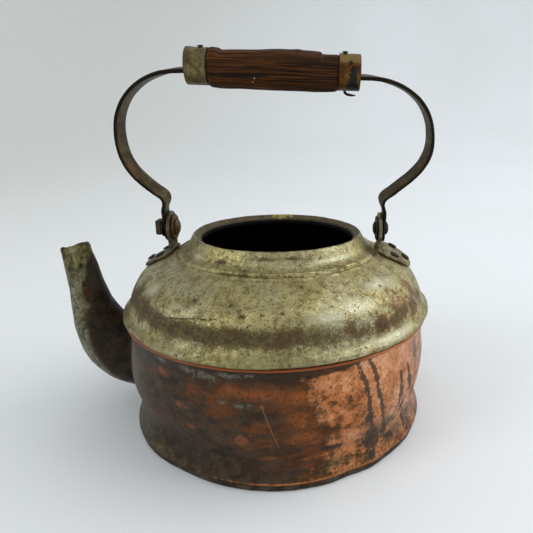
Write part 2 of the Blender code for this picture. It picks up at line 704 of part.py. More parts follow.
def bent_nail(top):
    """A nail driven down through the grip, its point bent over along +X."""
    middle = nail_point(1)
    path = [(0, top + 0.9, 1.0), (0, top + 0.8, 1.6), (0, top, 1.9), (0, top - 0.02, NAIL_R),
            (0, -FERRULE_R - 0.2, NAIL_R), (0.4, -FERRULE_R - 1.2, NAIL_R), (1.6, -FERRULE_R - 2.0, NAIL_R),
            (4.2, -FERRULE_R - 2.5, NAIL_R - 0.15), (6.6, -FERRULE_R - 2.6, 0.35)]
    leans = [0, 0, 0, 0, 0, 38, 68, 86, 90]
    rings = []
    for (x, z, radius), lean in zip(path, leans):
        across = Vector((math.cos(math.radians(lean)), 0, math.sin(math.radians(lean))))
        centre = middle + Vector((x, 0, z))
        angles = [2 * math.pi * i / 12 for i in range(12)]
        rings.append([centre + across * radius * math.cos(a) + Vector((0, radius * math.sin(a), 0))
                      for a in angles])
    return loft(rings)


def make_bail():
    parent = bail_origin()
    make_arm("bail_arm_spout_side", -1, spout_strap_x(), parent)
    make_arm("bail_arm_back", 1, back_strap_x(), parent)
    make_grip(parent)
    make_ferrule("ferrule_spout_side", -1, parent)
    make_ferrule("ferrule_back", 1, parent)
    make_nails(parent)


def main():
    for obj in list(bpy.data.objects):
        bpy.data.objects.remove(obj)
    make_base()
    make_shells(make_ears())
    make_spout()
    make_spout_side_pivot()
    make_back_pivot()
    make_bail()


main()
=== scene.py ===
"""Looks of an old copper kettle with a plated shoulder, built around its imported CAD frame.

Lengths in this file are millimetres in the kettle's own frame: +Z up, the spout along -X, and
the front towards -Y. An angle round the kettle is in degrees from the front, growing towards +X.
"""
import itertools
import json
import math

import bmesh
import bpy
import numpy as np
from mathutils import Matrix, Vector


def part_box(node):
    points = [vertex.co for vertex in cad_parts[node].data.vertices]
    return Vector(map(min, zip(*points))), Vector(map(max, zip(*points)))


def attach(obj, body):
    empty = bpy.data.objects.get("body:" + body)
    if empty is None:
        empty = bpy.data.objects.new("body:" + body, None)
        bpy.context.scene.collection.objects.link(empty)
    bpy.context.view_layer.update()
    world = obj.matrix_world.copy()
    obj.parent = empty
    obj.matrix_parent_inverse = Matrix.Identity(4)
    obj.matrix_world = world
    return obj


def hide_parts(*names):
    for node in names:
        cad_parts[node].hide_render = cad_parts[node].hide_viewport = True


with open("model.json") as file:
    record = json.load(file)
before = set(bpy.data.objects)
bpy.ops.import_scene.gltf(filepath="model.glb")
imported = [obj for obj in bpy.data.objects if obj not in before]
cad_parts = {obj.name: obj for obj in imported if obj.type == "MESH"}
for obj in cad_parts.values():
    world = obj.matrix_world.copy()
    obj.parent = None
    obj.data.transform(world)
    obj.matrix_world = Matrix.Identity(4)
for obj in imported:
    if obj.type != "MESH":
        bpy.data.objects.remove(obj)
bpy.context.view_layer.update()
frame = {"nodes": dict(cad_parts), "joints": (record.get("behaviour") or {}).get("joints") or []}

MM = 0.001


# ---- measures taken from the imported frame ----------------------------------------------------
def box_mm(node):
    """Lowest and highest corner of a CAD node, in millimetres."""
    low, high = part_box(node)
    return low / MM, high / MM


FLANGE_R = box_mm("shoulder_shell")[1].x
BODY_H = box_mm("shoulder_shell")[1].z
HEM_H = box_mm("base_plate")[1].z
PIVOT_Z = frame["joints"][0]["pos_m"][2] / MM

# The kettle's outline, as in its CAD source: radii end in _R and heights in _Z.
SHEET = 1.2                  # thickness of its sheet metal
GAP = 0.3                    # air between neighbouring parts
WAIST_Z = 19.0               # the crease above the foot
MOUTH_R = 54.1               # top edge of the collar
LIP_R = 49.1                 # edge of the lip that turns into the mouth
LIP_DROP = 2.5               # that edge lies this far below the top
CREASE_R = MOUTH_R + 9.9     # the crease where the collar meets the dome
CREASE_Z = BODY_H - 11.0
FLANGE_Z = BODY_H - 47.0
FLANGE_T = 2.1               # the flange reaches this far below FLANGE_Z
SEAM_Z = FLANGE_Z - 4.0
TURN_R = FLANGE_R - 11.1     # where the dome turns down
NECK_R = FLANGE_R - 4.3      # the copper just under the flange
BELLY_R = FLANGE_R - 2.0
BELLY_Z = FLANGE_Z - 36.0
WAIST_R = FLANGE_R - 6.0
FOOT_R = FLANGE_R - 2.6
BASE_R = FLANGE_R - 3.3

# The bail, in its own frame: the hinge is at height 0 and lengths run along X.
BAIL_LEAN = 11.0             # degrees backwards from upright
STRAP_W = 12.4
STRAP_T = 2.4
STRAP_TWIST = 9.0            # degrees that the straps turn edge-on between shank and grip
TWIST_LOW = (11.0, 21.0)     # heights where the twist begins and is full
TWIST_TOP = 18.0             # distance from the grip where it begins to fade
STRAP_STEP = 0.9             # spacing of the rows of a strap's mesh
BAIL_BOW = FLANGE_R - 6.7    # the widest point of the bail
BAIL_BOW_H = 57.0
BAIL_SKEW = 0.8              # the grip sits this far towards +X
STRAP_END = 8.9              # a strap ends this far below the hinge
EAR_R = 10.5
EAR_T = 2.0
EAR_X = 68.5                 # inner face of the ear on the spout side
EAR_BACK_X = 65.4            # inner face of the ear at the back
SPOUT_STRAP_X = EAR_X + EAR_T + 2 * GAP + STRAP_T / 2    # middle of each strap at the hinge
BACK_STRAP_X = EAR_BACK_X + EAR_T + GAP + STRAP_T / 2
GRIP_LEN = 98.0
GRIP_H = 97.7
GRIP_TILT = 1.55             # degrees
WOOD_R = 11.0
FERRULE_R = 10.1
FERRULE_LEN = 12.6
FERRULE_T = 0.8
SLOT_DROP = 2.2              # a strap enters the grip this far below its middle
TANG_LEN = 34.0              # length of a strap inside the grip


# ---- repeatable noise ------------------------------------------------------------------------
TABLE = np.random.default_rng(7).uniform(-1.0, 1.0, 8192)


def bell(value, middle, width):
    """1 in the middle, falling away smoothly over the width."""
    return np.exp(-((value - middle) / width) ** 2)


def smooth_noise(points, size, seed=0):
    """Smooth noise between -1 and 1, its features about one size across."""
    p = np.asarray(points, float) / size + seed * 17.31
    cell = np.floor(p).astype(np.int64)
    f = p - cell
    f = f * f * (3 - 2 * f)
    total = np.zeros(len(p))
    for corner in itertools.product((0, 1), repeat=3):
        c = cell + np.array(corner)
        key = (c[:, 0] * 73856093) ^ (c[:, 1] * 19349663) ^ (c[:, 2] * 83492791)
        weight = np.prod(np.where(np.array(corner) == 1, f, 1 - f), axis=1)
        total += TABLE[key % len(TABLE)] * weight
    return total


def fractal(points, size, octaves=3, seed=0):
    """Smooth noise with finer noise on top of it."""
    total, share = np.zeros(len(points)), 1.0
    for i in range(octaves):
        total += share * smooth_noise(points, size, seed + i)
        size, share = size / 2.1, share * 0.5
    return total


def step(value, low, high):
    """0 below low, 1 above high, and smooth between them."""
    t = np.clip((np.asarray(value, float) - low) / (high - low), 0, 1)
    return t * t * (3 - 2 * t)


# ---- meshes ----------------------------------------------------------------------------------
def bezier(p0, p1, p2, p3, steps):
    """Points along a curve from p0 towards p3, without p3 itself."""
    t = np.linspace(0, 1, steps, endpoint=False)[:, None]
    p0, p1, p2, p3 = (np.array(p, float) for p in (p0, p1, p2, p3))
    curve = (1 - t) ** 3 * p0 + 3 * t * (1 - t) ** 2 * p1 + 3 * t * t * (1 - t) * p2 + t ** 3 * p3
    return [tuple(p) for p in curve]


def rounded(points, times=2):
    """The open outline with its corners cut."""
    points = np.array(points, float)
    for _ in range(times):
        a, b = points[:-1], points[1:]
        cut = np.stack([a * 0.75 + b * 0.25, a * 0.25 + b * 0.75], 1).reshape(-1, points.shape[1])
        points = np.vstack([points[:1], cut, points[-1:]])
    return points


def resampled(points, spacing, fineness=None):
    """The same outline with evenly spaced points, or closer ones where fineness(points) is high."""
    points = np.array(points, float)
    for _ in range(2):
        lengths = np.linalg.norm(np.diff(points, axis=0), axis=1)
        if fineness is not None:
            lengths = lengths * fineness((points[:-1] + points[1:]) / 2)
        run = np.concatenate([[0], np.cumsum(lengths)])
        count = max(2, int(round(run[-1] / spacing)) + 1)
        where = np.linspace(0, run[-1], count)
        points = np.stack([np.interp(where, run, points[:, k]) for k in range(points.shape[1])], 1)
        if fineness is None:
            break
    return points


def offset_outline(points, distance):
    """The outline moved sideways, to the left of its direction."""
    points = np.array(points, float)
    along = np.gradient(points, axis=0)
    along /= np.linalg.norm(along, axis=1)[:, None]
    return points + distance * np.stack([-along[:, 1], along[:, 0]], 1)


def turned(profile, columns):
    """Rows of points: the outline of (radius, height) turned about Z, starting at the back."""
    profile = np.array(profile, float)
    angle = np.linspace(0, 2 * math.pi, columns, endpoint=False)
    r, z = profile[:, :1], profile[:, 1:2]
    ones = np.ones_like(angle)
    return np.stack([r * np.sin(angle), r * np.cos(angle), z * ones], 2)


def grid_normals(grid, wrap_rows=True):
    """Outward or inward unit normals of a grid whose columns close on themselves."""
    across = np.roll(grid, -1, 1) - np.roll(grid, 1, 1)
    if wrap_rows:
        down = np.roll(grid, -1, 0) - np.roll(grid, 1, 0)
    else:
        down = np.gradient(grid, axis=0)
    normal = np.cross(down, across)
    return normal / np.maximum(np.linalg.norm(normal, axis=2, keepdims=True), 1e-9)


def make_object(name, mesh):
    """A new object in the scene."""
    obj = bpy.data.objects.new(name, mesh)
    bpy.context.scene.collection.objects.link(obj)
    return obj


def grid_object(name, grid, wrap_rows=True, merge=False):
    """A smooth skin over rows of points. Open ends are closed by one face each."""
    rows, columns = grid.shape[:2]
    index = np.arange(rows * columns).reshape(rows, columns)
    right = np.roll(index, -1, 1)
    below, below_right = np.roll(index, -1, 0), np.roll(right, -1, 0)
    keep = rows if wrap_rows else rows - 1
    faces = np.stack([index[:keep], right[:keep], below_right[:keep], below[:keep]], 2).reshape(-1, 4)
    faces = faces.tolist()
    if not wrap_rows and not merge:
        faces += [index[0].tolist()[::-1], index[-1].tolist()]
    mesh = bpy.data.meshes.new(name)
    mesh.from_pydata((grid.reshape(-1, 3) * MM).tolist(), [], faces)
    bm = bmesh.new()
    bm.from_mesh(mesh)
    if merge:
        bmesh.ops.remove_doubles(bm, verts=bm.verts, dist=1e-6)
    bmesh.ops.recalc_face_normals(bm, faces=bm.faces)
    bm.to_mesh(mesh)
    bm.free()
    mesh.shade_smooth()
    return make_object(name, mesh)


def points_of(obj):
    """An object's points in millimetres, one row each."""
    co = np.zeros(len(obj.data.vertices) * 3)
    obj.data.vertices.foreach_get("co", co)
    return co.reshape(-1, 3) / MM


def normals_of(obj):
    """The normal at each point."""
    out = np.zeros(len(obj.data.vertices) * 3)
    obj.data.vertex_normals.foreach_get("vector", out)
    return out.reshape(-1, 3)


def set_points(obj, points):
    """Moves an object's points to these, in millimetres."""
    obj.data.vertices.foreach_set("co", (points * MM).ravel())
    obj.data.update()


def mask(obj, name, values):
    """Keeps a value per vertex, which the materials read by name."""
    layer = obj.data.attributes.new(name, "FLOAT", "POINT")
    layer.data.foreach_set("value", np.asarray(values, np.float32))


def apply_modifiers(obj):
    """Makes the object's modifiers permanent."""
    graph = bpy.context.evaluated_depsgraph_get()
    mesh = bpy.data.meshes.new_from_object(obj.evaluated_get(graph))
    obj.modifiers.clear()
    obj.data = mesh
    return obj


def cut_away(obj, cutter):
    """Takes the cutter's solid out of the object."""
    mod = obj.modifiers.new("cut", "BOOLEAN")
    mod.operation, mod.solver, mod.object = "DIFFERENCE", "EXACT", cutter
    apply_modifiers(obj)
    bpy.data.objects.remove(cutter)
    obj.data.shade_smooth()
    return obj


# ---- marks placed by angle and height --------------------------------------------------------
def around(points):
    """Angle from the front in degrees, radius and height of points."""
    x, y, z = points.T
    return np.degrees(np.arctan2(x, -y)), np.hypot(x, y), z


def spot(points, angle, height, width, tall=None):
    """A soft mark, 1 in its middle and falling away over its width and height in millimetres."""
    phi, radius, z = around(points)
    turn = (phi - angle + 180) % 360 - 180
    across = np.radians(turn) * radius / width
    up = (z - height) / (tall or width)
    return np.exp(-(across ** 2 + up ** 2))


def spots(points, marks):
    """The strongest of several such marks."""
    total = np.zeros(len(points))
    for mark in marks:
        total = np.maximum(total, spot(points, *mark))
    return total


def line(points, path, width):
    """1 along a path of (angle, height) points, falling to 0 at the width."""
    phi, _, z = around(points)
    best = np.full(len(points), 1e9)
    for (a0, z0), (a1, z1) in zip(path, path[1:]):
        ux, uz = math.radians(a1 - a0) * FLANGE_R, z1 - z0
        px = np.radians((phi - a0 + 180) % 360 - 180) * FLANGE_R
        pz = z - z0
        t = np.clip((px * ux + pz * uz) / (ux * ux + uz * uz), 0, 1)
        best = np.minimum(best, np.hypot(px - t * ux, pz - t * uz))
    return np.clip(1 - best / width, 0, 1)


# ---- materials -------------------------------------------------------------------------------
def srgb(red, green, blue):
    """A colour given as it looks on a screen, turned into the shader's own scale."""
    return tuple(((c / 255 + 0.055) / 1.055) ** 2.4 if c > 10 else c / 255 / 12.92
                 for c in (red, green, blue)) + (1.0,)


class Paint:
    """Builds one procedural material.

    Sizes of patterns are in millimetres. Colours are (red, green, blue) as they look on a screen,
    from 0 to 255, or what an earlier call gave back. A method that makes a mask gives 0 to 1.
    """

    def __init__(self, name, metallic=None, specular=None):
        self.material = bpy.data.materials.new(name)
        self.material.use_nodes = True
        self.tree = self.material.node_tree
        self.shader = self.tree.nodes["Principled BSDF"]
        self.place = self.add("ShaderNodeTexCoord").outputs["Object"]
        if metallic is not None:
            self.shader.inputs["Metallic"].default_value = metallic
        if specular is not None:
            self.shader.inputs["Specular IOR Level"].default_value = specular

    def add(self, kind, **settings):
        node = self.tree.nodes.new(kind)
        for key, value in settings.items():
            setattr(node, key, value)
        return node

    def feed(self, socket, value):
        """Links a socket to what a node gives, or sets it to a number or a colour."""
        if isinstance(value, bpy.types.NodeSocket):
            self.tree.links.new(value, socket)
        else:
            socket.default_value = srgb(*value) if isinstance(value, tuple) else value

    def spaced(self, stretch, shift):
        """The position on the object, stretched and moved so that two patterns never line up."""
        mapping = self.add("ShaderNodeMapping")
        self.feed(mapping.inputs["Vector"], self.place)
        mapping.inputs["Scale"].default_value = stretch
        mapping.inputs["Location"].default_value = (shift, shift * 0.7, shift * 0.3)
        return mapping.outputs["Vector"]

    def noise(self, size, detail=4.0, rough=0.55, stretch=(1, 1, 1), shift=0.0, warp=0.0):
        node = self.add("ShaderNodeTexNoise")
        self.feed(node.inputs["Vector"], self.spaced(stretch, shift))
        node.inputs["Scale"].default_value = 1 / (size * MM)
        node.inputs["Detail"].default_value = detail
        node.inputs["Roughness"].default_value = rough
        node.inputs["Distortion"].default_value = warp
        return node.outputs["Fac"]

    def cells(self, size, shift=0.0):
        """0 at the middle of round cells, growing outwards."""
        node = self.add("ShaderNodeTexVoronoi")
        self.feed(node.inputs["Vector"], self.spaced((1, 1, 1), shift))
        node.inputs["Scale"].default_value = 1 / (size * MM)
        return node.outputs["Distance"]

    def attribute(self, name):
        return self.add("ShaderNodeAttribute", attribute_name=name).outputs["Fac"]

    def across(self, axis):
        """The position along one axis, in metres."""
        node = self.add("ShaderNodeSeparateXYZ")
        self.feed(node.inputs[0], self.place)
        return node.outputs[axis]

    def math(self, operation, a, b=0.0):
        node = self.add("ShaderNodeMath", operation=operation)
        self.feed(node.inputs[0], a)
        self.feed(node.inputs[1], b)
        return node.outputs[0]

    def times(self, a, b):
        return self.math("MULTIPLY", a, b)

    def plus(self, a, b):
        return self.math("ADD", a, b)

    def weigh(self, a, share_a, b, share_b):
        """Two values added up in these shares."""
        return self.plus(self.times(a, share_a), self.times(b, share_b))

    def most(self, value, *others):
        """The highest of the values."""
        for other in others:
            value = self.math("MAXIMUM", value, other)
        return value

    def between(self, value, low, high):
        """0 below low, 1 above high; with low above high it falls instead."""
        node = self.add("ShaderNodeMapRange", interpolation_type="SMOOTHSTEP")
        self.feed(node.inputs["Value"], value)
        node.inputs["From Min"].default_value = min(low, high)
        node.inputs["From Max"].default_value = max(low, high)
        node.inputs["To Min"].default_value = 0.0 if low < high else 1.0
        node.inputs["To Max"].default_value = 1.0 if low < high else 0.0
        return node.outputs["Result"]

    def broken(self, value, noise, low, high, amount=0.6):
        """A soft mark given a crisp, uneven edge by noise."""
        return self.between(self.plus(value, self.times(self.plus(noise, -0.5), 2 * amount)), low, high)

    def marked(self, name, noise, low, high, amount=0.6):
        """A mask kept on the mesh, given such an edge."""
        return self.broken(self.attribute(name), noise, low, high, amount)

    def mix(self, factor, a, b):
        """Colour a where the factor is 0 and colour b where it is 1."""
        node = self.add("ShaderNodeMix", data_type="RGBA")
        self.feed(node.inputs["Factor"], factor)
        self.feed(node.inputs[6], a)
        self.feed(node.inputs[7], b)
        return node.outputs[2]

    def over(self, colour, cover, share, top):
        """The colour with another one laid over it, by this share where the cover mask is 1."""
        return self.mix(self.times(cover, share), colour, top)

    def flecked(self, colour, noise, low, high, share, top):
        """The colour with flecks of another where the noise lies between low and high or above."""
        return self.over(colour, self.between(noise, low, high), share, top)

    def mottled(self, noise, low, high, a, b):
        """Two colours in patches set by the noise."""
        return self.mix(self.between(noise, low, high), a, b)

    def blend(self, factor, a, b):
        """Number a where the factor is 0 and number b where it is 1."""
        node = self.add("ShaderNodeMix", data_type="FLOAT")
        self.feed(node.inputs["Factor"], factor)
        self.feed(node.inputs[2], a)
        self.feed(node.inputs[3], b)
        return node.outputs[0]

    def finish(self, colour, roughness, metallic, relief, depth):
        """Joins everything to the shader; the relief stands up to depth millimetres high."""
        self.feed(self.shader.inputs["Base Color"], colour)
        self.feed(self.shader.inputs["Roughness"], roughness)
        if metallic is not None:
            self.feed(self.shader.inputs["Metallic"], metallic)
        bump = self.add("ShaderNodeBump")
        bump.inputs["Distance"].default_value = depth * MM
        self.feed(bump.inputs["Height"], relief)
        self.feed(self.shader.inputs["Normal"], bump.outputs["Normal"])
        return self.material


def plate_material():
    """Worn plating over brass: olive, pitted, stained brown above the flange."""
    p = Paint("shoulder_plate", specular=0.3)
    cloud, patch = p.noise(38, 5, 0.6), p.noise(11, 5, 0.65, shift=3.0)
    grain, fine = p.noise(0.9, 3, 0.7), p.noise(3.0, 6, 0.75, shift=1.7)
    brushed = p.noise(1.3, 4, 0.7, stretch=(0.35, 0.35, 1), shift=7.0)
    colour = p.mottled(cloud, 0.4, 0.6, (176, 162, 110), (166, 158, 122))
    colour = p.flecked(colour, patch, 0.46, 0.62, 0.7, (134, 120, 72))
    colour = p.flecked(colour, fine, 0.51, 0.62, 0.7, (104, 94, 54))
    colour = p.flecked(colour, fine, 0.47, 0.36, 0.55, (206, 196, 150))
    colour = p.flecked(colour, grain, 0.53, 0.64, 0.65, (92, 82, 46))
    colour = p.flecked(colour, brushed, 0.54, 0.66, 0.4, (206, 198, 158))
    # Pale patches: partly worn bright plating, partly painted highlight on the dome's right side and left
    # shoulder.
    clean_and_highlight = p.marked("clean_and_highlight", fine, 0.2, 0.9, 0.8)
    colour = p.over(colour, clean_and_highlight, 0.7, (204, 202, 176))
    green = p.marked("green", fine, 0.3, 0.8, 0.8)
    colour = p.over(colour, green, 0.5, (124, 118, 80))
    mottle = p.weigh(patch, 0.5, fine, 0.5)
    rust = p.marked("rust", mottle, 0.24, 0.84, 1.5)
    rust_colour = p.mottled(fine, 0.44, 0.56, (156, 108, 62), (100, 70, 42))
    colour = p.over(colour, rust, 0.8, rust_colour)
    stain = p.marked("stain", p.weigh(mottle, 0.7, grain, 0.3), 0.12, 0.95, 1.7)
    stain_colour = p.mottled(fine, 0.44, 0.58, (58, 42, 26), (98, 84, 50))
    stain_colour = p.flecked(stain_colour, patch, 0.52, 0.64, 0.6, (88, 66, 42))
    colour = p.over(colour, stain, 0.94, stain_colour)
    pitted = p.between(p.noise(9, 3, 0.6, shift=5.0), 0.49, 0.6)
    pits = p.times(p.between(p.cells(2.9), 0.24, 0.12), pitted)
    small = p.times(p.between(p.cells(1.1, 2.0), 0.28, 0.14), p.between(patch, 0.44, 0.6))
    spot = p.times(p.marked("spot", fine, 0.42, 0.8, 0.6), 0.75)
    dark = p.most(pits, small, spot)
    dark = p.most(dark, p.times(p.marked("scratch", grain, 0.72, 0.9, 0.3), 0.85))
    colour = p.over(colour, dark, 0.8, (54, 46, 28))
    # The lip is darkened where it turns down into the mouth: painted shade.
    lip_colour = p.mottled(fine, 0.44, 0.58, (82, 70, 46), (58, 46, 32))
    colour = p.over(colour, p.attribute("lip"), 0.9, lip_colour)
    brassy = p.marked("brassy", p.weigh(fine, 0.5, grain, 0.5), 0.66, 0.82, 1.6)
    colour = p.over(colour, brassy, 0.8, (170, 154, 84))
    # The inner faces and the throat are painted near-black: painted shade inside the mouth.
    inside = p.attribute("inside")
    colour = p.mix(inside, colour, (10, 9, 10))
    tarnish = p.most(stain, p.times(rust, 0.9), p.most(inside, p.attribute("lip")))
    worn = p.plus(p.times(p.plus(fine, -0.5), 1.0), p.times(p.plus(grain, -0.5), 0.8))
    roughness = p.blend(tarnish, p.plus(0.46, worn), 0.6)
    roughness = p.blend(dark, roughness, 0.75)
    metallic = p.blend(tarnish, 0.95, 0.5)
    relief = p.plus(p.weigh(fine, 0.8, grain, 0.45), p.weigh(dark, -0.7, brushed, 0.3))
    return p.finish(colour, roughness, metallic, relief, 0.34)


SCRATCH_TOP = (-2.2, 53.7)    # ends of the scratch on the front of the belly, as (x, z)
SCRATCH_FOOT = (6.7, 26.0)
SCRATCH_PATH = [(-1.3, 53.7), (1.3, 41.9), (3.9, 26.0)]    # the same scratch as (angle, height)


def scratch_line(p):
    """1 on a hair-thin slanting scratch, 0 elsewhere."""
    x, y, z = (p.across(axis) for axis in "XYZ")
    lean = (SCRATCH_FOOT[0] - SCRATCH_TOP[0]) / (SCRATCH_TOP[1] - SCRATCH_FOOT[1])
    offset = (SCRATCH_TOP[0] + lean * SCRATCH_TOP[1]) * MM
    away = p.math("ABSOLUTE", p.plus(p.plus(x, p.times(z, lean)), -offset))
    thin = p.times(p.between(away, 0.36 * MM, 0.1 * MM), p.between(y, 0.0, -0.01))
    ends = p.times(p.between(z, SCRATCH_FOOT[1] * MM, (SCRATCH_FOOT[1] + 3) * MM),
                   p.between(z, (SCRATCH_TOP[1] + 0.3) * MM, SCRATCH_TOP[1] * MM))
    knob = p.between(away, 1.1 * MM, 0.6 * MM)
    above = p.math("ABSOLUTE", p.plus(z, -SCRATCH_TOP[1] * MM))
    knob = p.times(p.times(knob, p.between(y, 0.0, -0.01)), p.between(above, 1.1 * MM, 0.6 * MM))
    return p.most(p.times(thin, ends), knob)


def copper_material():
    """Old copper: bare and orange on one side, dark brown to black on the other."""
    p = Paint("body_copper", specular=0.25)
    streak = p.noise(18, 6, 0.68, stretch=(1, 1, 2.6))
    brushed = p.noise(8, 4, 0.68, stretch=(1, 1, 10), shift=2.0)
    cloud, patch = p.noise(20, 5, 0.66, shift=4.0), p.noise(6, 6, 0.72, shift=6.0)
    fine, grain = p.noise(2.0, 5, 0.72, shift=1.0), p.noise(0.8, 3, 0.7)
    bare = p.mottled(cloud, 0.38, 0.6, (222, 164, 122), (198, 128, 80))
    bare = p.flecked(bare, fine, 0.5, 0.62, 0.6, (142, 92, 58))
    bare = p.flecked(bare, brushed, 0.53, 0.66, 0.3, (218, 164, 122))
    bare = p.flecked(bare, grain, 0.54, 0.64, 0.35, (116, 74, 48))
    brown = p.mottled(streak, 0.4, 0.6, (108, 62, 32), (66, 43, 26))
    brown = p.flecked(brown, patch, 0.5, 0.62, 0.5, (122, 70, 34))
    brown = p.flecked(brown, fine, 0.5, 0.62, 0.6, (50, 36, 24))
    soot = p.attribute("soot")
    worn = p.plus(p.times(p.plus(cloud, -0.5), 1.2), p.times(p.plus(streak, -0.5), 1.0))
    worn = p.plus(worn, p.times(p.plus(patch, -0.5), 1.5))
    brownness = p.between(p.plus(soot, worn), 0.12, 0.6)
    colour = p.over(bare, brownness, 0.97, brown)
    turning = p.plus(soot, worn)
    turning = p.times(p.between(turning, -0.08, 0.2), p.between(turning, 0.56, 0.3))
    colour = p.over(colour, turning, 0.5, p.mottled(fine, 0.46, 0.6, (188, 114, 62), (136, 80, 44)))
    black = p.between(p.plus(soot, p.times(worn, 0.9)), 0.66, 1.16)
    black_colour = p.mottled(patch, 0.42, 0.58, (42, 33, 24), (66, 54, 40))
    colour = p.over(colour, black, 0.9, black_colour)
    glow = p.marked("glow", p.weigh(streak, 0.4, fine, 0.6), 0.15, 1.0, 1.2)
    colour = p.over(colour, glow, 0.6, p.mottled(fine, 0.46, 0.58, (160, 90, 42), (112, 66, 34)))
    band = p.marked("band", p.weigh(streak, 0.5, patch, 0.5), 0.3, 0.8, 0.9)
    colour = p.over(colour, band, 0.92, (54, 42, 31))
    speck = p.weigh(fine, 0.5, grain, 0.5)
    # Grey haze: tarnish in most patches; the tall patches down the belly's left side are painted sheen.
    haze_and_sheen = p.marked("haze_and_sheen", p.weigh(speck, 0.7, patch, 0.3), 0.44, 0.92, 2.8)
    colour = p.over(colour, haze_and_sheen, 0.5, (128, 124, 110))
    # Painted grey sheen, a grazing reflection down the belly's left and right sides.
    grey_sheen = p.marked("grey_sheen", p.weigh(streak, 0.5, patch, 0.5), 0.25, 1.05, 1.5)
    grey_sheen_colour = p.mottled(fine, 0.44, 0.58, (106, 103, 85), (78, 70, 54))
    colour = p.over(colour, grey_sheen, 0.55, grey_sheen_colour)
    green = p.marked("green", p.weigh(patch, 0.5, fine, 0.5), 0.2, 0.9, 1.3)
    colour = p.over(colour, green, 0.75, p.mottled(fine, 0.44, 0.56, (104, 92, 62), (62, 52, 34)))
    flecks = p.times(p.between(p.cells(3.0, 3.0), 0.26, 0.12), p.between(patch, 0.46, 0.58))
    ragged = p.weigh(patch, 0.4, fine, 0.6)
    tar = p.most(p.marked("tar", ragged, 0.36, 0.66, 1.5), flecks)
    colour = p.over(colour, tar, 0.86, p.mottled(fine, 0.4, 0.6, (38, 34, 32), (66, 52, 40)))
    colour = p.over(colour, scratch_line(p), 0.5, (170, 112, 74))
    chip = p.marked("chip", speck, 0.5, 1.0, 1.9)
    colour = p.over(colour, chip, 0.6, (146, 88, 60))
    edge = p.marked("edge", p.weigh(patch, 0.5, fine, 0.5), 0.42, 0.8, 1.4)
    colour = p.over(colour, edge, 0.8, (186, 112, 62))
    seam = p.marked("seam", fine, 0.3, 0.8, 0.8)
    colour = p.over(colour, seam, 0.8, (150, 84, 46))
    # The inner faces and the bore are painted near-black: painted shade inside the body.
    inside = p.attribute("inside")
    colour = p.mix(inside, colour, (12, 9, 9))
    tarnish = p.most(black, tar, p.most(haze_and_sheen, inside))
    roughness = p.plus(p.blend(brownness, 0.34, 0.42), p.times(p.plus(speck, -0.5), 0.8))
    roughness = p.blend(tarnish, roughness, 0.52)
    metallic = p.blend(tarnish, p.blend(brownness, 0.92, 0.72), 0.4)
    relief = p.plus(p.weigh(brushed, 0.3, fine, 0.6), p.weigh(tar, 0.2, grain, 0.35))
    return p.finish(colour, roughness, metallic, relief, 0.24)


def base_material():
    """The tinned plate under the kettle and its hem, dark with grime and with painted shade."""
    p = Paint("base_metal")
    patch, fine = p.noise(8, 5, 0.62), p.noise(1.6, 3, 0.6, shift=2.0)
    # Dark browns and greys: grime, and painted shade on the hem under the foot.
    colour = p.mottled(patch, 0.4, 0.6, (50, 42, 36), (82, 74, 64))
    colour = p.flecked(colour, fine, 0.5, 0.68, 0.6, (104, 66, 42))
    return p.finish(colour, p.plus(0.4, p.times(fine, 0.3)), 0.75, p.plus(fine, patch), 0.12)


def spout_material():
    """Grey plating left on one side of the spout, brown-black scale on the rest."""
    p = Paint("spout_metal", specular=0.3)
    patch, fine, grain = (p.noise(8, 5, 0.68), p.noise(2.4, 5, 0.72, shift=2.0),
                          p.noise(0.9, 3, 0.65))
    grey = p.mottled(patch, 0.4, 0.6, (132, 129, 108), (94, 91, 74))
    grey = p.flecked(grey, fine, 0.46, 0.58, 0.8, (62, 57, 43))
    grey = p.flecked(grey, fine, 0.44, 0.34, 0.6, (150, 147, 128))
    brown = p.mottled(patch, 0.42, 0.6, (48, 34, 17), (24, 18, 11))
    brown = p.flecked(brown, fine, 0.52, 0.66, 0.55, (74, 48, 28))
    mottle = p.weigh(patch, 0.5, fine, 0.5)
    tin = p.marked("tin", mottle, 0.2, 0.8, 0.9)
    blue = p.marked("blue", mottle, 0.2, 0.9, 0.8)
    brown = p.over(brown, blue, 0.5, (60, 60, 46))
    olive = p.mottled(mottle, 0.44, 0.56, (116, 108, 66), (72, 64, 34))
    grey = p.over(grey, p.attribute("olive"), 0.85, olive)
    colour = p.mix(tin, brown, grey)
    rust = p.marked("rust", mottle, 0.3, 0.7, 0.8)
    colour = p.over(colour, rust, 0.9, p.mottled(fine, 0.44, 0.56, (78, 46, 22), (38, 25, 16)))
    worn = p.marked("worn", mottle, 0.3, 0.8, 1.0)
    colour = p.over(colour, worn, 0.6, (160, 154, 116))
    pits = p.times(p.between(p.cells(2.2), 0.28, 0.14), p.between(patch, 0.44, 0.56))
    dark = p.most(pits, p.marked("spot", fine, 0.35, 0.6, 0.3))
    colour = p.over(colour, dark, 0.85, (28, 25, 21))
    rim = p.times(p.attribute("rim"), p.between(fine, 0.4, 0.6))
    colour = p.over(colour, rim, 0.7, (40, 34, 24))
    # The inner face is painted near-black: painted shade inside the spout.
    inside = p.attribute("inside")
    colour = p.mix(inside, colour, (14, 11, 9))
    roughness = p.blend(tin, p.plus(0.4, p.times(fine, 0.3)), p.plus(0.28, p.times(fine, 0.4)))
    roughness = p.blend(inside, roughness, 0.8)
    metallic = p.blend(tin, 0.5, 0.85)
    relief = p.plus(p.weigh(fine, 0.8, grain, 0.3), p.times(dark, -0.6))
    return p.finish(colour, roughness, metallic, relief, 0.28)


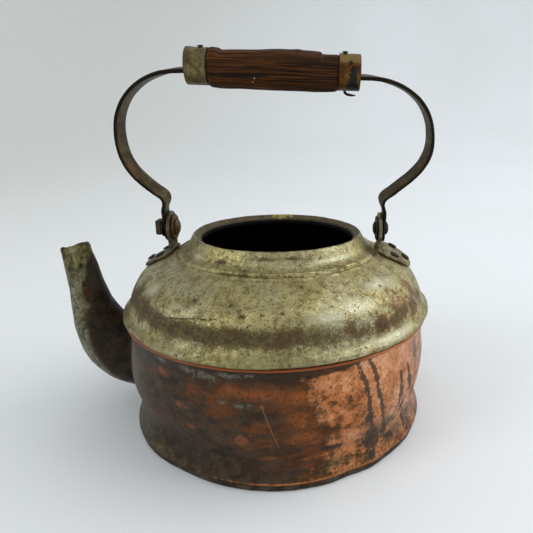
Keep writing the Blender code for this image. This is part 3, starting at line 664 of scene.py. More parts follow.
def iron_material(name, light, dark, rust, rusty=0.3, metallic=0.75):
    """Tarnished iron: two greys or browns with patches of rust."""
    p = Paint(name, metallic=metallic)
    patch, fine, grain = (p.noise(5, 4, 0.62), p.noise(1.5, 4, 0.66, shift=2.0),
                          p.noise(0.5, 3, 0.6))
    colour = p.mottled(patch, 0.38, 0.62, light, dark)
    colour = p.flecked(colour, fine, 0.48, 0.7, 0.65, dark)
    low = p.between(p.plus(patch, p.times(fine, 0.5)), 0.88 - rusty * 0.5, 1.02 - rusty * 0.5)
    colour = p.over(colour, low, 0.8, rust)
    relief = p.weigh(fine, 0.7, grain, 0.3)
    return p.finish(colour, p.plus(0.42, p.times(fine, 0.32)), None, relief, 0.16)


def strap_material():
    """The bail's strap: smooth brown-grey iron, with painted shade along its edges."""
    p = Paint("bail_strap", metallic=0.85, specular=0.3)
    patch, fine = p.noise(9, 5, 0.62), p.noise(1.6, 4, 0.65, shift=2.0)
    colour = p.mottled(patch, 0.36, 0.64, (82, 70, 45), (54, 44, 28))
    colour = p.flecked(colour, fine, 0.5, 0.7, 0.6, (44, 34, 22))
    tan = p.between(p.weigh(patch, 0.6, fine, 0.4), 0.46, 0.36)
    colour = p.over(colour, tan, 0.6, (108, 94, 62))
    rusty = p.between(p.noise(13, 5, 0.66, shift=6.0), 0.54, 0.64)
    colour = p.over(colour, rusty, 0.5, (88, 56, 32))
    # Painted shade along the strap's narrow edges.
    edge = p.marked("edge", patch, 0.3, 0.7, 0.5)
    colour = p.over(colour, edge, 0.9, (28, 24, 17))
    return p.finish(colour, p.plus(0.38, p.times(fine, 0.3)), None,
                    p.plus(fine, p.times(patch, 0.5)), 0.12)


def wood_material():
    """Dark reddish wood with black lines along its grain."""
    p = Paint("grip_wood", metallic=0.0, specular=0.1)
    grain = p.noise(0.95, 4, 0.6, stretch=(0.02, 1, 1), warp=0.2)
    wide = p.noise(5.0, 4, 0.6, stretch=(0.08, 1, 1), shift=3.0)
    fine = p.noise(0.6, 3, 0.6, stretch=(0.1, 1, 1), shift=5.0)
    colour = p.mottled(wide, 0.38, 0.62, (80, 45, 14), (55, 31, 10))
    colour = p.flecked(colour, grain, 0.5, 0.62, 0.9, (24, 14, 6))
    colour = p.flecked(colour, grain, 0.44, 0.32, 0.4, (112, 60, 20))
    colour = p.over(colour, p.attribute("groove"), 0.9, (14, 9, 6))
    dirt = p.between(p.noise(14, 4, 0.65, stretch=(0.5, 1, 1), shift=8.0), 0.5, 0.66)
    colour = p.over(colour, dirt, 0.45, (46, 34, 18))
    colour = p.mottled(p.attribute("chip"), 0.5, 0.7, colour, (206, 196, 180))
    roughness = p.plus(0.44, p.times(grain, 0.3))
    relief = p.weigh(grain, -0.8, fine, 0.3)
    return p.finish(colour, roughness, None, relief, 0.3)


def brass_material(name, light, dark, stain, stained=0.4, tarry=False):
    """Old sheet brass of a ferrule, spotted and stained."""
    p = Paint(name, specular=0.25)
    patch, fine, grain = (p.noise(5.5, 4, 0.62), p.noise(1.4, 4, 0.65, shift=2.0),
                          p.noise(0.5, 3, 0.6))
    colour = p.mottled(patch, 0.38, 0.62, light, dark)
    brown = p.between(p.plus(patch, p.times(fine, 0.6)), 0.98 - stained * 0.4, 1.2 - stained * 0.4)
    colour = p.over(colour, brown, 0.75, stain)
    pits = p.times(p.between(p.cells(1.7), 0.3, 0.14), p.between(patch, 0.42, 0.54))
    colour = p.flecked(colour, fine, 0.52, 0.64, 0.6, dark)
    colour = p.over(colour, pits, 0.8, (40, 32, 20))
    rough = p.plus(0.34, p.times(fine, 0.34))
    metallic = p.blend(brown, 0.92, 0.7)
    if tarry:
        tar = p.marked("tar", fine, 0.36, 0.6, 0.7)
        colour = p.mix(tar, colour, (14, 13, 15))
        rough = p.blend(tar, rough, 0.42)
        metallic = p.blend(tar, metallic, 0.1)
        gold = p.marked("gold", patch, 0.3, 0.8, 0.7)
        colour = p.over(colour, gold, 0.7, (132, 112, 66))
    edge = p.attribute("edge")
    colour = p.over(colour, edge, 0.8, (66, 42, 26))
    return p.finish(colour, rough, metallic, p.plus(fine, p.times(grain, 0.4)), 0.14)


# ---- the turned shells -----------------------------------------------------------------------
COLUMNS = 480    # points round the kettle
ROW = 0.8        # spacing of the rows on the outside
INNER_ROW = 2.4  # and on the inside


def belly_outline():
    """The copper's outer outline from the seam down, as (radius, height)."""
    rise = BELLY_Z - WAIST_Z
    seam = [(NECK_R + 2.9, SEAM_Z + 0.2), (NECK_R + 0.9, SEAM_Z - 0.9), (NECK_R, SEAM_Z - 3.0)]
    upper = bezier((NECK_R, SEAM_Z - 6), (NECK_R + 0.6, SEAM_Z - 16), (BELLY_R, BELLY_Z + 12),
                   (BELLY_R, BELLY_Z), 8)
    lower = bezier((BELLY_R, BELLY_Z), (BELLY_R, BELLY_Z - rise / 2), (WAIST_R + 0.4, WAIST_Z + 6),
                   (WAIST_R, WAIST_Z), 8)
    foot = bezier((WAIST_R, WAIST_Z), (WAIST_R + 0.8, WAIST_Z - 6), (FOOT_R - 2.2, HEM_H + 6),
                  (FOOT_R, HEM_H + GAP), 6)
    return seam + upper + lower + foot + [(FOOT_R, HEM_H + GAP)]


def dome_outline():
    """The shoulder's outline from the crease to just above the flange."""
    top = (CREASE_R + 1.0, CREASE_Z - 0.8)
    turn = (TURN_R, FLANGE_Z + 21)
    cove = (FLANGE_R - 4.4, FLANGE_Z + 6)
    flat = bezier(top, (CREASE_R + 8, CREASE_Z - 4), (turn[0] - 5.4, turn[1] + 7), turn, 14)
    side = bezier(turn, (turn[0] + 2.6, turn[1] - 4), (cove[0] - 1.6, cove[1] + 6), cove, 8)
    return flat + side + [cove]


def shoulder_outside():
    """The shoulder's outer outline from the lip inside the mouth to under the flange."""
    edge = [(LIP_R, BODY_H - LIP_DROP - 3.6), (LIP_R, BODY_H - LIP_DROP), (LIP_R + 2.6, BODY_H - 1.0)]
    lip = [(MOUTH_R - 0.8, BODY_H), (MOUTH_R, BODY_H - 0.5)]
    collar = [(MOUTH_R + 1.6, BODY_H - 3.4), (MOUTH_R + 3.4, BODY_H - 6.8),
              (MOUTH_R + 4.6, BODY_H - 8.2), (CREASE_R - 3.6, BODY_H - 9.1),
              (CREASE_R - 1.2, CREASE_Z + 1.0), (CREASE_R - 0.1, CREASE_Z + 0.7),
              (CREASE_R + 0.3, CREASE_Z - 0.1)]
    cove = [(FLANGE_R - 3.4, FLANGE_Z + 3.8), (FLANGE_R - 1.8, FLANGE_Z + 2.2)]
    roll = [(FLANGE_R - 0.5, FLANGE_Z + 1.2), (FLANGE_R, FLANGE_Z), (FLANGE_R - 0.5, FLANGE_Z - 1.4),
            (FLANGE_R - 1.6, FLANGE_Z - FLANGE_T)]
    return edge + lip + collar + dome_outline() + cove + roll


def sink(grid, dents, down=0.0):
    """Presses round dents into a turned grid: (angle, height, radius, width, depth) each."""
    flat = grid.reshape(-1, 3)
    for angle, height, radius, width, depth in dents:
        a = math.radians(angle)
        centre = np.array([radius * math.sin(a), -radius * math.cos(a), height])
        inward = -np.array([math.sin(a), -math.cos(a), down])
        away = np.linalg.norm(flat - centre, axis=1) / width
        flat = flat + np.exp(-away ** 2)[:, None] * inward * depth
    return flat.reshape(grid.shape)


def roll_about(grid, amount, size, seed):
    """Slow unevenness, outwards and up, the same for both faces of the sheet."""
    flat = grid.reshape(-1, 3)
    outward = flat * np.array([1, 1, 0])
    outward /= np.maximum(np.linalg.norm(outward, axis=1), 1e-6)[:, None]
    flat = flat + outward * (amount * fractal(flat, size, 2, seed))[:, None]
    flat[:, 2] += amount * 0.6 * fractal(flat, size, 2, seed + 9)
    return flat.reshape(grid.shape)


RING_SPACING = 1.7    # the turning marks above the flange

DOME_DENTS = [(-7.8, 99.6, 88.6, 3.2, 0.8), (-1.2, 100.3, 88.0, 2.8, 0.5),
              (-28, 103.7, 84.0, 2.4, 0.5), (-52, 100, 88.0, 9, 0.8), (30, 104, 84.0, 12, 0.7),
              (72, 97, 90.0, 10, 0.9), (150, 100, 88.0, 13, 0.9), (205, 104, 84.0, 9, 0.7),
              (-100, 96, 90.0, 12, 0.8), (49, 105, 82.0, 2.5, 0.4)]


def shoulder_fineness(outline):
    """Closer rows at the crease, the collar and the flange."""
    radius, z = outline.T
    return (1 + 1.6 * bell(radius, CREASE_R, 2.5) + 0.8 * step(z, BODY_H - 9, BODY_H - 5)
            + 0.8 * step(-z, -(FLANGE_Z + 8), -(FLANGE_Z + 4)))


def outward(grid, normal, row):
    """The normals, turned over if they point inwards in this row."""
    return -normal if np.sum(normal[row, :, :2] * grid[row, :, :2]) < 0 else normal


def make_shoulder():
    """The plated collar, dome and flange, one sheet with its inner side."""
    outside = resampled(rounded(shoulder_outside(), 2), ROW, shoulder_fineness)
    under = FLANGE_Z - FLANGE_T
    wall = [(NECK_R - SHEET, under), (NECK_R - SHEET, FLANGE_Z + 1.6)]
    inner = offset_outline(outside, -SHEET)[::-1]
    inner = resampled(inner[inner[:, 1] > FLANGE_Z + 3.4], INNER_ROW)
    grid = turned(np.vstack([outside, wall, inner]), COLUMNS)
    grid = roll_about(grid, 0.45, 42, 3)
    grid = sink(grid, DOME_DENTS, 0.6)
    normal = outward(grid, grid_normals(grid), 60)
    rows = len(outside)
    flat = grid[:rows].reshape(-1, 3)
    _, radius, z = around(flat)
    relief = 0.16 * fractal(flat, 11, 3, 5) + 0.05 * fractal(flat, 2.6, 2, 8)
    crack = step(smooth_noise(flat, 9, 12), -0.35, 0.25)
    at_crease = bell(radius, CREASE_R + 0.5, 0.5)
    relief -= at_crease * (0.12 + 0.5 * crack)
    relief += 0.3 * bell(radius, CREASE_R - 1.0, 0.7) * crack
    relief += 0.28 * bell(radius, CREASE_R + 1.9, 0.8) * crack
    rings = step(z, FLANGE_Z + 3, FLANGE_Z + 5) * step(-z, -FLANGE_Z - 12, -FLANGE_Z - 8)
    relief += 0.05 * np.sin(z * 2 * math.pi / RING_SPACING) * rings
    deep = step(smooth_noise(flat, 2.2, 21), 0.55, 0.85) * step(fractal(flat, 16, 2, 30), -0.1, 0.5)
    relief -= 0.22 * deep * step(radius, CREASE_R, CREASE_R + 6)
    flat = flat + normal[:rows].reshape(-1, 3) * relief[:, None]
    edge = bell(radius, FLANGE_R, 2.0)
    flat[:, 2] += edge * 0.45 * fractal(flat, 17, 2, 40)
    shrink = np.minimum(1, FLANGE_R / np.maximum(np.hypot(flat[:, 0], flat[:, 1]), 1e-6))
    flat[:, :2] *= shrink[:, None]
    grid[:rows] = flat.reshape(rows, COLUMNS, 3)
    grid[:, :, 2] = np.minimum(grid[:, :, 2], BODY_H)
    obj = grid_object("shoulder", grid)
    mark_shoulder(obj, rows)
    return obj


# Soft spots on the shoulder, by mask: (angle, height, width, and height if not round) of each.
SHOULDER_SPOTS = {
    "stain": [(-52, 92, 15, 7), (-74, 93, 14, 10), (-93, 111, 7, 9), (74, 116, 8, 4.5), (41, 88, 9, 5),
        (-60, 97, 6, 5), (-4, 121, 7, 1.4), (12, 121.4, 6, 1.2), (-30, 118, 5, 1.4)],
    "rust": [(54, 94, 14, 9), (62, 90, 9, 9), (44, 90, 9, 5), (34, 88, 7, 3), (27, 91, 5, 3),
        (-62, 94, 5, 3.5), (-84, 112, 8, 4), (120, 92, 14, 6), (170, 90, 20, 5), (-150, 92, 16, 5),
        (43, 87, 8, 3.5), (66, 97, 7, 6)],
    # clean_and_highlight: worn bright plating with painted highlight, on the right of the dome and the left
    # shoulder.
    "clean_and_highlight": [(33, 100, 15, 4.5), (22, 98, 14, 3), (-52, 101, 7, 5), (-50, 117.3, 8, 1.8),
        (40, 118.5, 20, 1.6), (45, 81, 36, 2.5), (28, 92, 18, 3), (150, 100, 20, 6), (-140, 101, 18, 5),
        (50, 106, 16, 3)],
    "green": [(-28, 103.7, 4, 3), (-20, 99, 9, 3), (5, 87, 8, 3), (14, 93, 7, 3), (-13, 103, 6, 3)],
    "spot": [(-27.9, 103.7, 1.9, 1.2), (-7.8, 99.6, 2.6, 1.0), (-1.2, 100.3, 1.7, 0.9),
        (5.4, 101.2, 1.8, 0.8), (13.9, 109.9, 1.2, 0.6), (23.7, 109.1, 1.2, 0.5), (49.5, 105, 1.7, 0.9),
        (-12.9, 103.7, 1.7, 0.8), (110, 103, 2.4, 1.2), (160, 98, 2.6, 1.4), (-120, 100, 2.2, 1.3),
        (-170, 104, 2.0, 1.0)],
    "brassy": [(181, BODY_H, 7, 4), (174, BODY_H, 3, 3), (188, BODY_H, 3, 3)],
}


def mark_shoulder(obj, rows):
    """Masks over the shoulder, whose first rows are its outside."""
    p = points_of(obj)
    phi, radius, z = around(p)
    row = np.arange(len(p)) // COLUMNS
    inner = (row >= rows + 2).astype(float)
    # The inner rows and the throat under the lip get painted shade.
    throat = (step(-z, -(BODY_H - LIP_DROP + 0.4), -(BODY_H - LIP_DROP - 1.4))
              * step(-radius, -(LIP_R + 1.8), -(LIP_R + 0.9)))
    mask(obj, "inside", np.maximum(inner, throat))
    lift = np.interp(phi, [-180, -120, -45, -10, 180], [0, 2.2, 2.2, 0, 0])
    middle = FLANGE_Z + 11.6 + lift + 1.4 * smooth_noise(p, 30, 60)
    low = np.exp(-np.abs((z - middle) / 5.6) ** 2.4)
    front = np.interp(phi, [-180, -90, -45, -5, 20, 45, 90, 180],
                      [0.7, 0.9, 1.15, 1.1, 0.8, 0.62, 0.6, 0.7])
    mask(obj, "stain", np.maximum(low * front, spots(p, SHOULDER_SPOTS["stain"])))
    mask(obj, "rust", spots(p, SHOULDER_SPOTS["rust"]))
    # Pale patches of worn plating, partly painted highlight.
    mask(obj, "clean_and_highlight", 0.8 * spots(p, SHOULDER_SPOTS["clean_and_highlight"]))
    low = 0.9 * bell(z, FLANGE_Z + 1.5, 4.6) * (1 - 0.6 * step(phi, 8, 28) * step(-phi, -70, -50))
    mask(obj, "green", np.maximum(low, spots(p, SHOULDER_SPOTS["green"])))
    mask(obj, "spot", spots(p, SHOULDER_SPOTS["spot"]))
    crack = 1 - np.clip(np.abs(radius - CREASE_R - 0.5) / 2.6, 0, 1)
    crack = crack * step(smooth_noise(p, 11, 12), -0.3, 0.2)
    mask(obj, "scratch", np.maximum.reduce([
        line(p, [(-37, 93.6), (-25, 96.6), (-16, 97.8)], 1.7), line(p, [(140, 90), (152, 97)], 3.0), crack]))
    # Painted shade on the lip, from the top of its roll inwards.
    mask(obj, "lip", step(-radius, -(MOUTH_R - 0.2), -(MOUTH_R - 1.0)))
    mask(obj, "brassy", np.maximum(spots(p, SHOULDER_SPOTS["brassy"]),
                                   0.35 * bell(radius, MOUTH_R, 0.9) * step(z, BODY_H - 2, BODY_H - 1)))


FOOT_DENTS = [(-32, 6, 97, 22, 2.6), (-14, 3, 97, 16, 0.9), (28, 3, 97, 9, 1.5),
              (46, 4, 97, 10, 0.7), (120, 5, 97, 16, 1.6), (200, 4, 97, 20, 1.4),
              (-110, 5, 97, 12, 0.8)]
BELLY_DENTS = [(-40, 44, 98, 20, 0.9), (10, 32, 98, 16, 0.7), (75, 30, 98, 12, 1.6),
               (62, 58, 97, 10, 0.7), (140, 45, 98, 22, 1.2), (190, 38, 98, 15, 1.0),
               (-60, 24, 97, 9, 1.0)]


def foot_shape(grid):
    """The dents and slow waves that the copper skirt and the base plate share."""
    return sink(roll_about(grid, 0.35, 48, 15), FOOT_DENTS)


def make_body():
    """The copper belly and foot, open where the spout is joined on."""
    outside = resampled(rounded(belly_outline(), 2), ROW)
    top = FLANGE_Z - FLANGE_T - GAP
    flange = [(NECK_R - SHEET, top), (NECK_R + 2.7, top), (NECK_R + 3.0, SEAM_Z + 1.0)]
    inner = offset_outline(outside, -SHEET)[::-1]
    inner = resampled(inner[inner[:, 1] < SEAM_Z - 3.5], INNER_ROW)
    grid = turned(np.vstack([flange, outside, [(FOOT_R - SHEET, HEM_H + GAP)], inner[1:]]), COLUMNS)
    grid = sink(foot_shape(grid), BELLY_DENTS)
    normal = outward(grid, grid_normals(grid), 40)
    first, rows = len(flange), len(outside)
    flat = grid[first:first + rows].reshape(-1, 3)
    z = flat[:, 2]
    relief = 0.14 * fractal(flat, 13, 3, 50) + 0.04 * fractal(flat, 3, 2, 55)
    relief -= 0.35 * np.exp(-((z - WAIST_Z - 0.6 * smooth_noise(flat, 25, 57)) / 0.9) ** 2)
    relief -= 0.25 * line(flat, SCRATCH_PATH, 1.4)
    flat = flat + normal[first:first + rows].reshape(-1, 3) * relief[:, None]
    grid[first:first + rows] = flat.reshape(rows, COLUMNS, 3)
    obj = grid_object("copper_body", grid)
    cut_away(obj, spout_hole())
    mark_body(obj)
    return obj


# Runs of tar down the copper: a path of (angle, height) points, and a width.
DRIPS = [([(29.6, 73), (32.3, 61.7), (34.1, 52.9), (34.2, 45), (35.5, 34), (37, 28)], 3.0),
         ([(34.0, 73), (37.2, 64), (39.0, 47), (40.3, 40), (43.2, 24)], 3.1),
         ([(50.5, 55), (51.2, 48), (50.1, 33)], 2.6), ([(56, 56), (57.8, 40)], 3.2),
         ([(56, 24), (58, 12)], 4.0), ([(141, 72), (143, 40)], 3.0), ([(176, 70), (174, 50)], 3.2)]
# Soft spots on the copper, as on the shoulder.
BODY_SPOTS = {
    "glow": [(-2, 60.5, 20, 4), (9, 58, 14, 5), (-11, 62, 6, 4), (-38, 63, 5, 3), (0, 20, 8, 1.4),
        (-30, 48, 4, 2), (-26, 36, 4, 2), (10, 46, 8, 5), (12, 34, 9, 5), (150, 60, 20, 5)],
    # haze_and_sheen: grey tarnish, and painted sheen in the tall patches at -72 and -62 degrees.
    "haze_and_sheen": [(-38, 70, 7, 2.0), (-26, 69.5, 9, 2.2), (-20, 68, 8, 2.8), (-12, 70, 8, 1.8),
        (-5, 71, 5, 1.4), (-13.7, 54.9, 2, 1.6), (-8, 54, 4, 1.8), (-5, 55, 2, 1.2), (-72, 40, 9, 20),
        (-62, 60, 8, 9), (130, 68, 20, 2.5), (-150, 66, 18, 3)],
    "green": [(-44, 7, 16, 5), (36, 9, 9, 4), (46, 11, 8, 4), (34, 35, 5, 6), (160, 8, 20, 4),
        (40, 24, 16, 9), (37, 22, 9, 10), (50, 14, 14, 6), (24, 12, 14, 5), (62, 18, 8, 10),
        (64, 60, 5, 12)],
    # grey_sheen: patches of painted grey sheen on the belly's right side.
    "grey_sheen": [(70, 56, 8, 16), (48, 24, 10, 5)],
    "blots": [(36.5, 25, 4, 4), (38.5, 17, 8, 7), (38, 24, 5, 5), (47, 14, 6, 3), (53, 30, 3, 8),
        (61, 34, 3, 8), (37.5, 9, 4.5, 4), (44, 20, 4, 5), (21.5, 22.6, 8, 2.2), (57, 46, 3, 6),
        (51, 42, 3, 5), (10.4, 24.5, 3, 1.6), (-22.7, 47, 7, 2.5), (-16.3, 43.4, 6, 3), (-23, 13, 5, 3),
        (-2.3, 11.2, 5, 2), (9.2, 11.2, 4, 2), (5.1, 64, 1.8, 1), (12.5, 62.5, 1.8, 1),
        (20.3, 61.3, 1.7, 0.9), (18.6, 55.7, 1.5, 0.8), (34, 36, 3, 3), (150, 30, 10, 6),
        (120, 20, 8, 5), (-140, 24, 9, 6), (190, 50, 6, 4)],
    "chip": [(-8.2, 33, 3.4, 2.2), (-5.4, 36.6, 1.3), (-15.8, 32.8, 1.6, 1.1), (-26.5, 47.3, 3.0, 1.1),
        (-20, 40, 1.2, 0.7), (-38.8, 64.3, 2.2, 1.6)],
    "sweep": [(14, 17.6, 9, 1.0), (23, 14.7, 8, 0.9), (8.7, 21.3, 6, 0.8), (28, 20, 9, 0.8),
        (40, 28, 8, 6)],
}


def mark_body(obj):
    """Masks over the copper: soot, tar, verdigris and bare edges."""
    p, n = points_of(obj), normals_of(obj)
    phi, radius, z = around(p)
    facing = (n[:, 0] * p[:, 0] + n[:, 1] * p[:, 1]) / np.maximum(radius, 1e-6)
    # Painted shade inside: the bore under the flange and the faces turned inwards.
    bore = step(-radius, -(NECK_R - 0.2), -(NECK_R - 1.0)) * step(z, SEAM_Z - 10, SEAM_Z - 8)
    mask(obj, "inside", np.maximum(bore, step(-facing, 0.2, 0.5)
                                   * step(-z, -(SEAM_Z - 2), -(SEAM_Z - 4))))
    turn = [-180, -150, -60, -25, -5, 8, 17, 25, 33, 60, 90, 120, 150, 180]
    share = [0.62, 0.85, 1.1, 1.12, 0.95, 0.68, 0.44, 0.2, 0.1, 0.1, 0.38, 0.5, 0.55, 0.62]
    low = 0.34 * step(-z, -34, -8) + 0.12 * step(-z, -56, -34)
    low = low * np.interp(phi, [-180, -100, -60, -20, 2, 26, 80, 180],
                          [0.6, 0.3, 0.3, 1, 1, 0.4, 0.4, 0.6])
    mask(obj, "soot", np.interp(phi, turn, share) + low + 0.1 * fractal(p, 26, 2, 70))
    mask(obj, "glow", spots(p, BODY_SPOTS["glow"]))
    reach = np.interp(phi, [-180, -150, 4, 28, 150, 180],
                      [5, 7.5, 7.5, 3, 3, 5]) + 1.6 * smooth_noise(p, 18, 72)
    under = step(z, SEAM_Z - 3.5 - reach, SEAM_Z - 1.0 - 0.4 * reach)
    mask(obj, "band", under * np.interp(phi, [-180, -150, 24, 40, 150, 180],
                                        [0.7, 1, 1, 0.25, 0.3, 0.7]))
    # Grey tarnish, with painted sheen down the belly's left side.
    mask(obj, "haze_and_sheen", spots(p, BODY_SPOTS["haze_and_sheen"]))
    mask(obj, "green", np.maximum(spots(p, BODY_SPOTS["green"]),
                                  0.5 * step(-z, -14, -5)))
    # Painted grey sheen down the belly's left side, and its patches.
    mask(obj, "grey_sheen", np.maximum(0.85 * np.exp(-((phi + 66) / 21) ** 2), spots(p, BODY_SPOTS["grey_sheen"])))
    drips = 1.1 * np.maximum.reduce([line(p, path, width) for path, width in DRIPS])
    blots = spots(p, BODY_SPOTS["blots"])
    mask(obj, "tar", np.maximum(drips * 0.95, blots))
    ring = np.abs(np.hypot(radius * np.radians(phi + 8.2), z - 33) - 2.4)
    mask(obj, "chip", np.maximum(np.exp(-(ring / 1.8) ** 2) * step(-np.abs(phi + 8.2), -6, -4),
                                 spots(p, BODY_SPOTS["chip"])))
    foot_edge = 0.85 * np.exp(-((z - HEM_H - 1.0) / 0.9) ** 2) * (0.35 + 0.65 * spot(p, 12, 5, 52, 40))
    mask(obj, "seam", step(radius, NECK_R + 1.4, NECK_R + 2.4) * step(z, SEAM_Z - 1.5, SEAM_Z - 0.3))
    sweep = 0.6 * spots(p, BODY_SPOTS["sweep"])
    mask(obj, "edge", np.maximum(foot_edge, sweep))


def make_base():
    """The plate under the kettle, with its hem turned up round the foot."""
    rise = HEM_H - 0.9
    hem = [(BASE_R - 0.8, 0.0), (BASE_R, 0.8), (BASE_R, rise), (BASE_R - 0.4, HEM_H),
           (BASE_R - 2.2, HEM_H), (BASE_R - 2.4, 2.0), (BASE_R - 3.4, SHEET)]
    hem = resampled(rounded(hem, 2), 0.5)
    floor = [(r, 0.0) for r in (0, 12, 30, 50, 68, 80, 88, 92, 94.5)]
    top = [(r, SHEET) for r in (91, 88, 80, 68, 50, 30, 12, 0)]
    grid = turned(np.vstack([floor, hem, top]), COLUMNS)
    shaped = foot_shape(grid)
    shaped[:, :, 2] = grid[:, :, 2]
    flat = shaped.reshape(-1, 3)
    _, radius, z = around(flat)
    outer = step(radius, BASE_R - 2.6, BASE_R - 1.0)
    flat[:, :2] *= 1 + (outer * (0.22 * fractal(flat, 6, 2, 80) - 0.1) / np.maximum(radius, 1))[:, None]
    flat[:, 2] += outer * step(z, 2.0, 4.0) * 0.3 * smooth_noise(flat, 9, 83)
    return grid_object("base", flat.reshape(grid.shape), wrap_rows=False, merge=True)


# ---- spout -----------------------------------------------------------------------------------
# Each station: how far its middle stands out from the belly, its height as a share of the body's,
# half its height, half its width, and its tilt in degrees.
SPOUT_STATIONS = [
    (-12.0, 0.293, 23.2, 21.0, 0.0), (0.5, 0.298, 23.2, 21.0, 4.0), (13.4, 0.338, 22.6, 20.0, 16.0),
    (23.2, 0.418, 20.0, 17.6, 35.0), (28.9, 0.539, 15.2, 14.4, 57.0), (31.2, 0.672, 11.6, 11.4, 71.0),
    (33.4, 0.792, 10.1, 9.9, 77.0), (36.0, 0.919, 8.8, 8.5, 78.0)]
SPOUT_COLUMNS = 108
SPOUT_ROWS = 120
SPOUT_ROWS_INSIDE = 60
TIP_LOBES = [(322, 30, 0.026), (272, 8, 0.006), (220, 13, -0.022), (250, 6, -0.006), (190, 18, -0.004)]
TIP_REACH = 0.32    # the ragged tip may go this share of a station past the last one


def spout_rings(inset, columns, fine=420):
    """Rings of points along the spout. Column 0 is its top or inner bend, a quarter on is +Y."""
    s = np.array(SPOUT_STATIONS)
    last = len(s) - 1
    t = np.linspace(0, last + TIP_REACH, fine)
    i = np.minimum(t.astype(int), last - 1)
    f = (t - i)[:, None]
    a, b, c, d = (s[np.clip(i + k, 0, last)] for k in (-1, 0, 1, 2))
    along = 0.5 * (2 * b + (c - a) * f + (2 * a - 5 * b + 4 * c - d) * f ** 2
                   + (3 * b - a - 3 * c + d) * f ** 3)
    angle = np.linspace(0, 2 * math.pi, columns, endpoint=False)
    out, share, high, wide, tilt = (along[:, k:k + 1] for k in range(5))
    up = (high - inset) * np.cos(angle)
    lean = np.radians(tilt)
    x = -BELLY_R - out + np.sin(lean) * up
    z = BODY_H * share + np.cos(lean) * up
    y = (wide - inset) * np.sin(angle) + 0 * x
    return np.stack([x, y, z], 2)


def spout_hole():
    """The cutter for the opening in the body behind the spout."""
    ring = spout_rings(SHEET + 0.8, 48)
    first = ring[70].copy()
    near, far = first.copy(), first.copy()
    near[:, 0] = first[:, 0] - (first[:, 0].mean() + BELLY_R + 12)
    far[:, 0] = first[:, 0] - (first[:, 0].mean() + BELLY_R - 30)
    return grid_object("spout_hole", np.stack([near, far]), wrap_rows=False)


def cut_rings(rings, rows, tip):
    """Rings between the belly's surface and the ragged tip, given in share of the length."""
    outline = np.array(sorted([(z, r) for r, z in belly_outline()]))
    radial = np.hypot(rings[:, :, 0], rings[:, :, 1])
    limit = np.interp(rings[:, :, 2], outline[:, 0], outline[:, 1]) - 0.15
    count = len(rings)
    inside = radial < limit
    start = count - np.argmax(inside[::-1], axis=0)
    s = np.linspace(0, 1, rows)[:, None]
    where = start + (tip * (count - 1) - start) * s
    low = np.minimum(where.astype(int), count - 2)
    f = (where - low)[:, :, None]
    column = np.arange(rings.shape[1])[None, :]
    return rings[low, column] * (1 - f) + rings[low + 1, column] * f


def make_spout():
    """The tapering spout with a folded seam along its side and a ragged tip."""
    angle = np.linspace(0, 2 * math.pi, SPOUT_COLUMNS, endpoint=False)
    ring = np.stack([9 * np.cos(angle), 9 * np.sin(angle), 0 * angle], 1)
    ragged = 0.004 * smooth_noise(ring, 5.2, 90) + 0.005 * smooth_noise(ring, 1.7, 92)
    tip = 0.953 + ragged
    for at, width, height in TIP_LOBES:
        tip += height * bell((np.degrees(angle) - at + 180) % 360 - 180, 0, width)
    tip -= 0.034 * np.clip(np.sin(angle), 0, 1) ** 0.7
    outer = cut_rings(spout_rings(0.0, SPOUT_COLUMNS), SPOUT_ROWS, tip)
    inner = cut_rings(spout_rings(SHEET, SPOUT_COLUMNS), SPOUT_ROWS_INSIDE, tip - 0.001)
    normal = grid_normals(outer, wrap_rows=False)
    middle = outer.mean(axis=1, keepdims=True)
    if np.sum(normal * (outer - middle)) < 0:
        normal = -normal
    flat = outer.reshape(-1, 3)
    s = np.repeat(np.linspace(0, 1, SPOUT_ROWS), SPOUT_COLUMNS)
    a = np.tile(np.degrees(angle), SPOUT_ROWS)
    fold_at = 248 + 36 * s ** 2
    fold = bell(a, fold_at, 9) * step(s, 0.2, 0.75)
    hollow = np.exp(-((a - fold_at + 32) / 20) ** 2) * step(s, 0.35, 0.8)
    rough = 0.22 * fractal(flat, 9, 3, 95) + 0.06 * fractal(flat, 2.2, 2, 98)
    relief = 0.55 * fold - 0.45 * hollow + rough
    relief += 0.7 * np.exp(-(s / 0.025) ** 2)
    relief -= 0.5 * np.exp(-(((a - 296) / 14) ** 2 + ((s - 0.855) / 0.02) ** 2))
    relief += 0.25 * bell(s, 0.985, 0.012)
    limit = 1 - step(s, 0.985, 1.0)
    push = (relief * (0.4 + 0.6 * limit))[:, None]
    outer = (flat + normal.reshape(-1, 3) * push).reshape(outer.shape)
    grid = np.concatenate([outer, inner[::-1]])
    obj = grid_object("spout_skin", grid)
    mark_spout(obj, s, a)
    return obj


